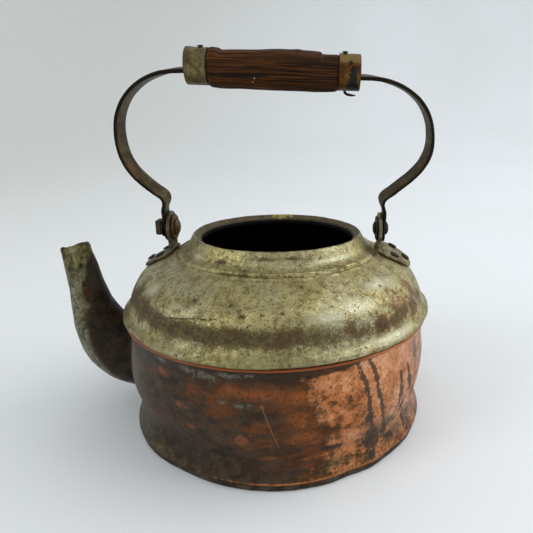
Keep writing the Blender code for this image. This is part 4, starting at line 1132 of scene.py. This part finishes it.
def mark_spout(obj, s, a):
    """Masks over the spout: s runs from 0 to 1 along it and a is the angle round it in degrees."""
    p = points_of(obj)
    outer = np.arange(len(p)) < SPOUT_ROWS * SPOUT_COLUMNS
    full_s, full_a = np.zeros(len(p)), np.zeros(len(p))
    full_s[outer], full_a[outer] = s, a
    # The inner rows get painted shade.
    mask(obj, "inside", (~outer).astype(float))
    boundary = np.interp(full_s, [0, 0.15, 0.3, 0.45, 0.6, 0.72, 0.82, 0.9, 1.0],
                         [207, 228, 252, 268, 280, 286, 306, 350, 390])
    left = step(boundary + 16 * fractal(p, 11, 3, 100) - full_a, -22, 22) * step(full_a, 110, 150)
    left = np.maximum(left, step(full_s, 0.86, 0.95) * step(-full_a, -60, -20))
    mask(obj, "olive", np.maximum(step(full_s, 0.74, 0.9),
                                  0.5 * step(full_a, 240, 262) * step(full_s, 0.4, 0.5)))
    mask(obj, "blue", np.exp(-((full_a - 322) / 24) ** 2 - ((full_s - 0.72) / 0.12) ** 2))
    mask(obj, "tin", np.where(outer, left, 0))

    def near(a0, s0, da, ds):
        return bell(full_a, a0, da) * bell(full_s, s0, ds)

    rust = np.maximum(near(290, 0.72, 10, 0.065), near(296, 0.63, 14, 0.05))
    mask(obj, "rust", np.where(outer, rust, 0))
    spot = np.maximum(near(296, 0.855, 8, 0.015), near(240, 0.87, 6, 0.010))
    mask(obj, "spot", np.where(outer, spot, 0))
    worn = np.maximum(near(285, 0.965, 22, 0.03), 0.8 * near(281, 0.9, 7, 0.06))
    mask(obj, "worn", np.where(outer, worn, 0))
    mask(obj, "rim", np.where(full_s > 0.985, 1.0, 0.0))


# ---- bail ------------------------------------------------------------------------------------
def bail_matrix():
    """From the bail's own frame, with the hinge at its origin, to the kettle's, in metres."""
    lean = Matrix.Rotation(math.radians(BAIL_LEAN), 4, "X")
    return Matrix.Translation((0, 0, PIVOT_Z * MM)) @ lean


def grip_matrix():
    """From the grip's frame, along +X from its middle, to the kettle's, in metres."""
    place = Matrix.Translation((BAIL_SKEW * MM, 0, GRIP_H * MM))
    return bail_matrix() @ place @ Matrix.Rotation(math.radians(GRIP_TILT), 4, "Y")


def strap_path(side, pivot_x):
    """The middle line of one strap as (distance along X, height), from inside the grip down."""
    slope = math.radians(GRIP_TILT) * -side
    half = GRIP_LEN / 2
    shift = side * BAIL_SKEW
    entry = GRIP_H - SLOT_DROP - side * half * math.sin(math.radians(GRIP_TILT))
    enter = (half + 1.0 + shift, entry + math.sin(slope))
    inside = (half - TANG_LEN + shift, enter[1] - (TANG_LEN + 1.0) * math.sin(slope))
    bow = (BAIL_BOW + shift, BAIL_BOW_H)
    shank = (pivot_x + 5.3, 27.0)
    kink = (pivot_x - 1.9, 17.6)
    down = (pivot_x, EAR_R + 0.8)
    top = bezier(enter, (enter[0] + 25, enter[1] - 0.4), (bow[0], bow[1] + 24), bow, 40)
    low = bezier(bow, (bow[0], bow[1] - 15), (shank[0] + 9, shank[1] + 8), shank, 24)
    turn = bezier(shank, (shank[0] - 4.5, shank[1] - 4), (kink[0] - 0.7, kink[1] + 4.8), kink, 14)
    last = bezier(kink, (kink[0] + 0.6, kink[1] - 2.6), (down[0], down[1] + 2.4), down, 10)
    return [inside] + top + low + turn + last + [down, (pivot_x, STRAP_W / 2 - STRAP_END)]


def power_share(value, power):
    """Squares up a circle's cosine or sine, for a section between a circle and a rectangle."""
    return np.sign(value) * np.abs(value) ** power


def make_strap(name, side, pivot_x, seed):
    """One iron strap of the bail, with a rounded end, nicked edges and a slight twist."""
    path = resampled(strap_path(side, pivot_x), STRAP_STEP)
    half = STRAP_W / 2
    end = np.linspace(0.06, 1.5, 16)
    widths = np.concatenate([np.full(len(path), half), half * np.cos(end)])
    path = np.vstack([path] + [(pivot_x, half - STRAP_END - half * math.sin(a)) for a in end])
    along = np.gradient(path, axis=0)
    along /= np.linalg.norm(along, axis=1)[:, None]
    a = np.linspace(0, 2 * math.pi, 36, endpoint=False)
    y_share, n_share = power_share(np.cos(a), 0.32), power_share(np.sin(a), 0.55)
    rows = len(path)
    run = np.arange(rows) * STRAP_STEP
    rear, front = (0.22 * fractal(np.stack([run, 0 * run + far, 0 * run], 1), 7, 3, seed)
                   for far in (0, 50))
    nicks = np.where(np.cos(a) > 0, np.abs(rear)[:, None], np.abs(front)[:, None])
    nicks = nicks * (widths[:, None] / half)
    y = (widths[:, None] - nicks) * y_share
    thick = STRAP_T / 2 * n_share
    twist = math.radians(STRAP_TWIST) * step(path[:, 1:2], *TWIST_LOW)
    twist = twist * step(path[:, :1], GRIP_LEN / 2 + 2, GRIP_LEN / 2 + TWIST_TOP)
    off = thick * np.cos(twist) - y * np.sin(twist)
    y = y * np.cos(twist) + thick * np.sin(twist)
    x = path[:, :1] - along[:, 1:2] * off
    h = path[:, 1:2] + along[:, :1] * off
    grid = np.stack([side * x, y, h], 2)
    flat = grid.reshape(-1, 3)
    wave = 0.12 * fractal(flat, 14, 3, seed + 5)
    flat = flat + grid_normals(grid, wrap_rows=False).reshape(-1, 3) * wave[:, None]
    obj = grid_object(name, flat.reshape(grid.shape), wrap_rows=False)
    # The narrow edges take painted shade.
    mask(obj, "edge", np.tile(step(np.abs(y_share), 0.84, 0.97), rows))
    obj.matrix_world = bail_matrix()
    return obj


def wood_radius(x, a):
    """Half thickness of the worn grip: a is the angle about its length, 90 degrees at the top."""
    up = np.sin(a)
    top = np.interp(x, [-36.4, -34, -31, -29, -10, 14, 16.5, 26.5, 27.3, 36.4],
                    [10.1, 10.5, 10.2, 9.2, 10.1, 11.3, 10.7, 10.3, 9.2, 9.2])
    low = np.interp(x, [-36.4, -35, -30, 0, 28, 34, 36.4], [10.4, 11.1, 11.4, 11.4, 11.3, 11.0, 10.5])
    side = np.interp(x, [-36.4, -34, 0, 30, 36.4], [10.0, 10.6, 11.0, 10.8, 10.2])
    return np.where(up > 0, side + (top - side) * up ** 2, side + (low - side) * up ** 2)


WOOD_CHIPS = [(-10.0, 201, 0.55), (-11.0, 213, 0.45)]    # (distance along, angle, size) of pale dots


def make_wood():
    """The grooved wooden grip, with a spigot under each ferrule."""
    shoulder, spigot = GRIP_LEN / 2 - FERRULE_LEN + 0.1, FERRULE_R - FERRULE_T - GAP
    end = GRIP_LEN / 2 - FERRULE_T - GAP
    x = np.linspace(-shoulder, shoulder, 150)
    a = np.linspace(0, 2 * math.pi, 288, endpoint=False)
    xx, aa = np.meshgrid(x, a, indexing="ij")
    ring, wander, skin = (np.stack([xx / stretch, WOOD_R * np.cos(aa), WOOD_R * np.sin(aa)],
                                   2).reshape(-1, 3) for stretch in (42, 14, 1))
    ring[:, 1] += 0.3 * smooth_noise(wander, 2.0, 110)
    ring[:, 2] += 0.3 * smooth_noise(wander, 2.0, 112)
    lines = smooth_noise(ring, 0.62, 115) + 0.45 * smooth_noise(ring, 1.5, 117)
    groove = step(lines, 0.1, 0.6).reshape(xx.shape)
    lumps = fractal(skin, 10, 2, 119)
    radius = wood_radius(xx, aa) - 0.3 * groove + 0.18 * lumps.reshape(xx.shape)
    radius = radius - step(np.abs(xx), shoulder - 0.8, shoulder) * 0.5
    body = np.stack([xx, radius * np.cos(aa), radius * np.sin(aa)], 2)

    def stub(at, r):
        return np.stack([0 * a + at, r * np.cos(a), r * np.sin(a)], 1)[None]

    grid = np.concatenate([stub(-end, spigot - 1), stub(-end, spigot), stub(-shoulder, spigot), body,
                           stub(shoulder, spigot), stub(end, spigot), stub(end, spigot - 1)])
    obj = grid_object("wood_grip", grid, wrap_rows=False)
    full = np.zeros(grid.shape[:2])
    full[3:-3] = groove
    mask(obj, "groove", full.ravel())
    chips = []
    for at, turn, size in WOOD_CHIPS:
        middle = (at, WOOD_R * math.cos(math.radians(turn)), WOOD_R * math.sin(math.radians(turn)))
        chips.append(bell(np.linalg.norm(points_of(obj) - middle, axis=1), 0, size))
    mask(obj, "chip", np.maximum(*chips))
    obj.matrix_world = grip_matrix()
    return obj


def block(low, high):
    """A box between two corners."""
    low, high = np.array(low, float), np.array(high, float)
    corners = np.array([(x, y, z) for x in (low[0], high[0]) for y, z in
                        ((low[1], low[2]), (high[1], low[2]), (high[1], high[2]), (low[1], high[2]))])
    return grid_object("block", corners.reshape(2, 4, 3), wrap_rows=False)


def make_ferrule_cap(name, side, seed):
    """A brass cap over one end of the grip, slotted for the strap."""
    half, bore = GRIP_LEN / 2, FERRULE_R - FERRULE_T
    start = half - FERRULE_LEN + GAP
    outer = resampled(rounded([(0.0, half), (FERRULE_R - 0.9, half), (FERRULE_R, half),
                               (FERRULE_R, half - 0.9), (FERRULE_R, start)], 2), 0.35)
    inner = resampled([(bore, start), (bore, half - FERRULE_T), (0.0, half - FERRULE_T)], 1.0)
    outline = np.vstack([outer, inner])
    a = np.linspace(0, 2 * math.pi, 128, endpoint=False)
    r, x = outline[:, :1], outline[:, 1:2]
    grid = np.stack([side * x + 0 * a, r * np.cos(a), r * np.sin(a)], 2)
    flat = grid.reshape(-1, 3)
    wobble = 1 + 0.016 * fractal(flat, 6, 3, seed)
    flat = flat * np.array([1, 0, 0]) + flat * np.array([0, 1, 1]) * wobble[:, None]
    rim = step(-np.abs(flat[:, 0]), -start - 0.8, -start)
    flat[:, 0] += side * rim * 0.35 * smooth_noise(flat, 4, seed + 3)
    obj = grid_object(name, flat.reshape(grid.shape), wrap_rows=False, merge=True)
    tall, wide = STRAP_T / 2 + GAP, STRAP_W / 2 + GAP
    near, far = sorted((side * (half - 6), side * (half + 6)))
    cut_away(obj, block((near, -wide, -SLOT_DROP - tall), (far, wide, -SLOT_DROP + tall)))
    p = points_of(obj)
    mask(obj, "edge", np.maximum(step(-np.abs(p[:, 0]), -start - 0.7, -start - 0.1),
                                 0.6 * step(np.abs(p[:, 0]), half - 0.9, half - 0.3)))
    turn = np.degrees(np.arctan2(p[:, 2], -p[:, 1]))
    along = np.abs(p[:, 0]) - start
    fall = np.clip((27 - turn) / 90, 0, 1)
    tar = np.clip(1.35 - np.abs(along - 8.0) / (1.2 + 3.0 * fall), 0, 1) * step(turn, -76,
            -62) * step(-turn, -34, -22)
    wall = step(np.hypot(p[:, 1], p[:, 2]), FERRULE_R - 3.0, FERRULE_R - 0.9)
    mask(obj, "tar", tar * wall)
    mask(obj, "gold", step(turn, 22, 50) * step(-turn, -150, -130) * wall)
    obj.matrix_world = grip_matrix()
    return obj


# ---- small ironwork, worn down from its CAD solid --------------------------------------------
def worn_piece(name, node, voxel, rub, seed, smooth=3):
    """A finely meshed, softened and rusted copy of a CAD solid, in its place."""
    obj = make_object(name, frame["nodes"][node].data.copy())
    obj.data.materials.clear()
    remesh = obj.modifiers.new("remesh", "REMESH")
    remesh.mode, remesh.voxel_size = "VOXEL", voxel * MM
    soften = obj.modifiers.new("soften", "SMOOTH")
    soften.factor, soften.iterations = 0.5, smooth
    apply_modifiers(obj)
    obj.data.shade_smooth()
    p = points_of(obj)
    relief = rub * fractal(p, 3.2, 3, seed)
    relief -= rub * 1.4 * step(smooth_noise(p, 1.3, seed + 4), 0.45, 0.8)
    set_points(obj, p + normals_of(obj) * relief[:, None])
    return obj


def raised_foot(points, whole=False):
    """The back ear's foot stands a little off the shoulder, most of all at its rear."""
    x, y, z = points.T
    if whole:
        x, y = 0 * x + x.mean(), 0 * y + y.mean()
    low = step(-z, -(PIVOT_Z - 12), -(PIVOT_Z - 14)) * step(x, 67.4, 69.0)
    rise = (0.5 + 1.7 * step(y, -12, 12)) * (1 if whole else low)
    return points + np.stack([0.35 * rise, 0 * rise, rise], 1)


def dress(obj, material, body, slot, *nodes):
    """Gives a piece its material and body, and hides the CAD nodes that it replaces. The slot is not used.
    """
    obj.data.materials.clear()
    obj.data.materials.append(material)
    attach(obj, body)
    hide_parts(*nodes)
    return obj


def make_hardware():
    """The ears, rivets, hinge pins, washers and nails."""
    plate = iron_material("ear_plate", (112, 104, 76), (74, 66, 46), (84, 60, 34), 0.15)
    # The back ear takes a paler copy of the ear iron: painted light on the ear that faces the window lamp.
    lit_ear_plate = iron_material("ear_plate_lit", (158, 148, 112), (104, 94, 66), (96, 70, 44), 0.1)
    dark = iron_material("dark_iron", (56, 48, 38), (34, 28, 22), (62, 38, 20), 0.3)
    rust = iron_material("rusty_iron", (96, 78, 48), (50, 39, 24), (108, 74, 38), 0.2, 0.55)
    brown = iron_material("brown_iron", (74, 60, 38), (38, 30, 20), (80, 58, 32), 0.2, 0.55)
    for tag, side in (("spout_side", -1), ("back", 1)):
        ear = worn_piece("ear_plate_" + tag, "ear_" + tag, 0.42, 0.09, 130 + side)
        if side > 0:
            set_points(ear, raised_foot(points_of(ear)))
        # The back ear gets the lit copy.
        dress(ear, lit_ear_plate if side > 0 else plate, "kettle", "ear_iron", "ear_" + tag)
        for where in ("front", "rear", "outer"):
            node = f"rivet_{tag}_{where}"
            rivet = worn_piece("ear_" + node, node, 0.3, 0.1, 140 + side)
            if side > 0:
                set_points(rivet, raised_foot(points_of(rivet), whole=True))
            dress(rivet, dark if where == "rear" else brown, "kettle", "rivet_iron", node)
    for name, node, voxel, mat in (
            ("bolt", "pivot_bolt", 0.3, rust), ("big_washer", "pivot_washer_inner", 0.3, rust),
            ("small_washer", "pivot_washer_outer", 0.3, dark), ("square_nut", "pivot_nut", 0.3, brown),
            ("back_pin", "pivot_rivet", 0.3, dark), ("back_washer", "pivot_washer_back", 0.28, dark)):
        dress(worn_piece(name, node, voxel, 0.1, 150), mat, "kettle", "pivot_iron", node)
    for name, node in (("headed_nail", "nail_spout_side"), ("bent_nail", "nail_back"),
                       ("small_tack", "tack")):
        dress(worn_piece(name, node, 0.2, 0.05, 160, 2), dark, "bail", "nail_iron", node)


# ---- room, light and camera ------------------------------------------------------------------
def make_room():
    """A pale floor that curves up into a wall all round, far outside the kettle."""
    curve = bezier((900, 0), (1700, 0), (2300, 40), (2600, 760), 32)
    outline = [(0.0, 0.0), (300, 0), (600, 0)] + curve + [(2650, 1150)]
    grid = turned(outline, 128)
    room = grid_object("floor", grid, wrap_rows=False, merge=True)
    room.data.flip_normals()
    p = Paint("pale_floor", metallic=0.0)
    soft = p.noise(420, 3, 0.5)
    # The floor is painted darker towards -X: painted shade on the side away from the window lamp.
    side = p.between(p.across("X"), -1.1, 0.5)
    fine = p.noise(2.5, 3, 0.6, shift=1.0)
    colour = p.mottled(soft, 0.3, 0.7, (240, 242, 243), (244, 246, 248))
    colour = p.mix(side, (216, 217, 213), colour)
    room.data.materials.append(p.finish(colour, p.plus(0.6, p.times(fine, 0.2)), None, fine, 0.02))


def make_light(name, place, aim, size, power, colour):
    """A rectangular lamp of this many watts, its place and size in metres."""
    data = bpy.data.lights.new(name, "AREA")
    data.shape, data.size, data.size_y = "RECTANGLE", size[0], size[1]
    data.energy, data.color = power, colour
    lamp = bpy.data.objects.new(name, data)
    bpy.context.scene.collection.objects.link(lamp)
    lamp.location = place
    lamp.rotation_euler = (Vector(aim) - Vector(place)).to_track_quat("-Z", "Y").to_euler()
    return lamp


def make_world():
    """Soft light from all round, dimmer on the side of the spout and low behind the camera."""
    world = bpy.data.worlds.new("studio")
    world.use_nodes = True
    tree = world.node_tree
    add, link = tree.nodes.new, tree.links.new
    direction = add("ShaderNodeSeparateXYZ")
    link(add("ShaderNodeTexCoord").outputs["Generated"], direction.inputs[0])

    def ramp(source, low, high, at_low, at_high):
        node = add("ShaderNodeMapRange")
        node.interpolation_type = "SMOOTHSTEP"
        link(source, node.inputs["Value"])
        for key, value in (("From Min", low), ("From Max", high), ("To Min", at_low), ("To Max", at_high)):
            node.inputs[key].default_value = value
        return node.outputs["Result"]

    def combine(operation, a, b):
        node = add("ShaderNodeMath")
        node.operation = operation
        link(a, node.inputs[0])
        link(b, node.inputs[1])
        return node.outputs[0]

    behind = combine("MULTIPLY", ramp(direction.outputs["Y"], -0.85, -0.25, 1.0, 0.0),
                     ramp(direction.outputs["Z"], 0.55, 0.85, 1.0, 0.0))
    side = ramp(direction.outputs["X"], -1.0, 0.8, 0.7, 1.12)
    strength = combine("MULTIPLY", side, ramp(behind, 0.0, 1.0, 1.0, 0.35))
    background = tree.nodes["Background"]
    background.inputs["Color"].default_value = srgb(226, 231, 235)
    link(strength, background.inputs["Strength"])
    bpy.context.scene.world = world


def make_lights():
    middle = (0, 0, 0.08)
    make_light("window", (2.0, 0.1, 1.9), middle, (2.2, 2.2), 27, (1.0, 0.99, 0.97))
    make_light("fill", (-1.9, -1.1, 1.5), middle, (0.9, 1.2), 12, (0.96, 0.98, 1.0))
    make_world()


def make_camera():
    """Seen from in front and a little above, as in the photograph."""
    data = bpy.data.cameras.new("camera")
    data.sensor_width, data.lens = 36.0, 34.3
    data.shift_x, data.shift_y = -0.1246, -0.0041
    data.clip_start, data.clip_end = 0.01, 20
    camera = bpy.data.objects.new("camera", data)
    bpy.context.scene.collection.objects.link(camera)
    right, up = Vector((0.9997, -0.0235, 0.0117)), Vector((-0.0044, 0.2894, 0.9572))
    back = right.cross(up).normalized()
    turn = Matrix((right, up, back)).transposed().to_4x4()
    camera.matrix_world = Matrix.Translation((0.02731, -0.32754, 0.20069)) @ turn
    bpy.context.scene.camera = camera


def main():
    bpy.context.scene.view_settings.view_transform = "Standard"
    make_camera()
    make_room()
    make_lights()
    dress(make_shoulder(), plate_material(), "kettle", "shoulder_plate", "shoulder_shell")
    dress(make_body(), copper_material(), "kettle", "body_copper", "body_shell")
    dress(make_base(), base_material(), "kettle", "base_copper", "base_plate")
    dress(make_spout(), spout_material(), "kettle", "spout_metal", "spout")
    make_hardware()
    strap = strap_material()
    dress(make_strap("strap_spout_side", -1, SPOUT_STRAP_X, 170), strap, "bail", "bail_strap",
          "bail_arm_spout_side")
    dress(make_strap("strap_back", 1, BACK_STRAP_X, 180), strap, "bail", "bail_strap", "bail_arm_back")
    dress(make_wood(), wood_material(), "bail", "grip_wood", "grip")
    grey_brass = brass_material("ferrule_brass", (124, 112, 76), (90, 80, 52), (66, 52, 28), 0.3)
    old_brass = brass_material("ferrule_stained", (112, 78, 36), (80, 54, 26), (70, 42, 20), 0.6, True)
    dress(make_ferrule_cap("cap_spout_side", -1, 190), grey_brass, "bail", "ferrule_brass",
          "ferrule_spout_side")
    dress(make_ferrule_cap("cap_back", 1, 200), old_brass, "bail", "ferrule_brass_stained",
          "ferrule_back")


main()
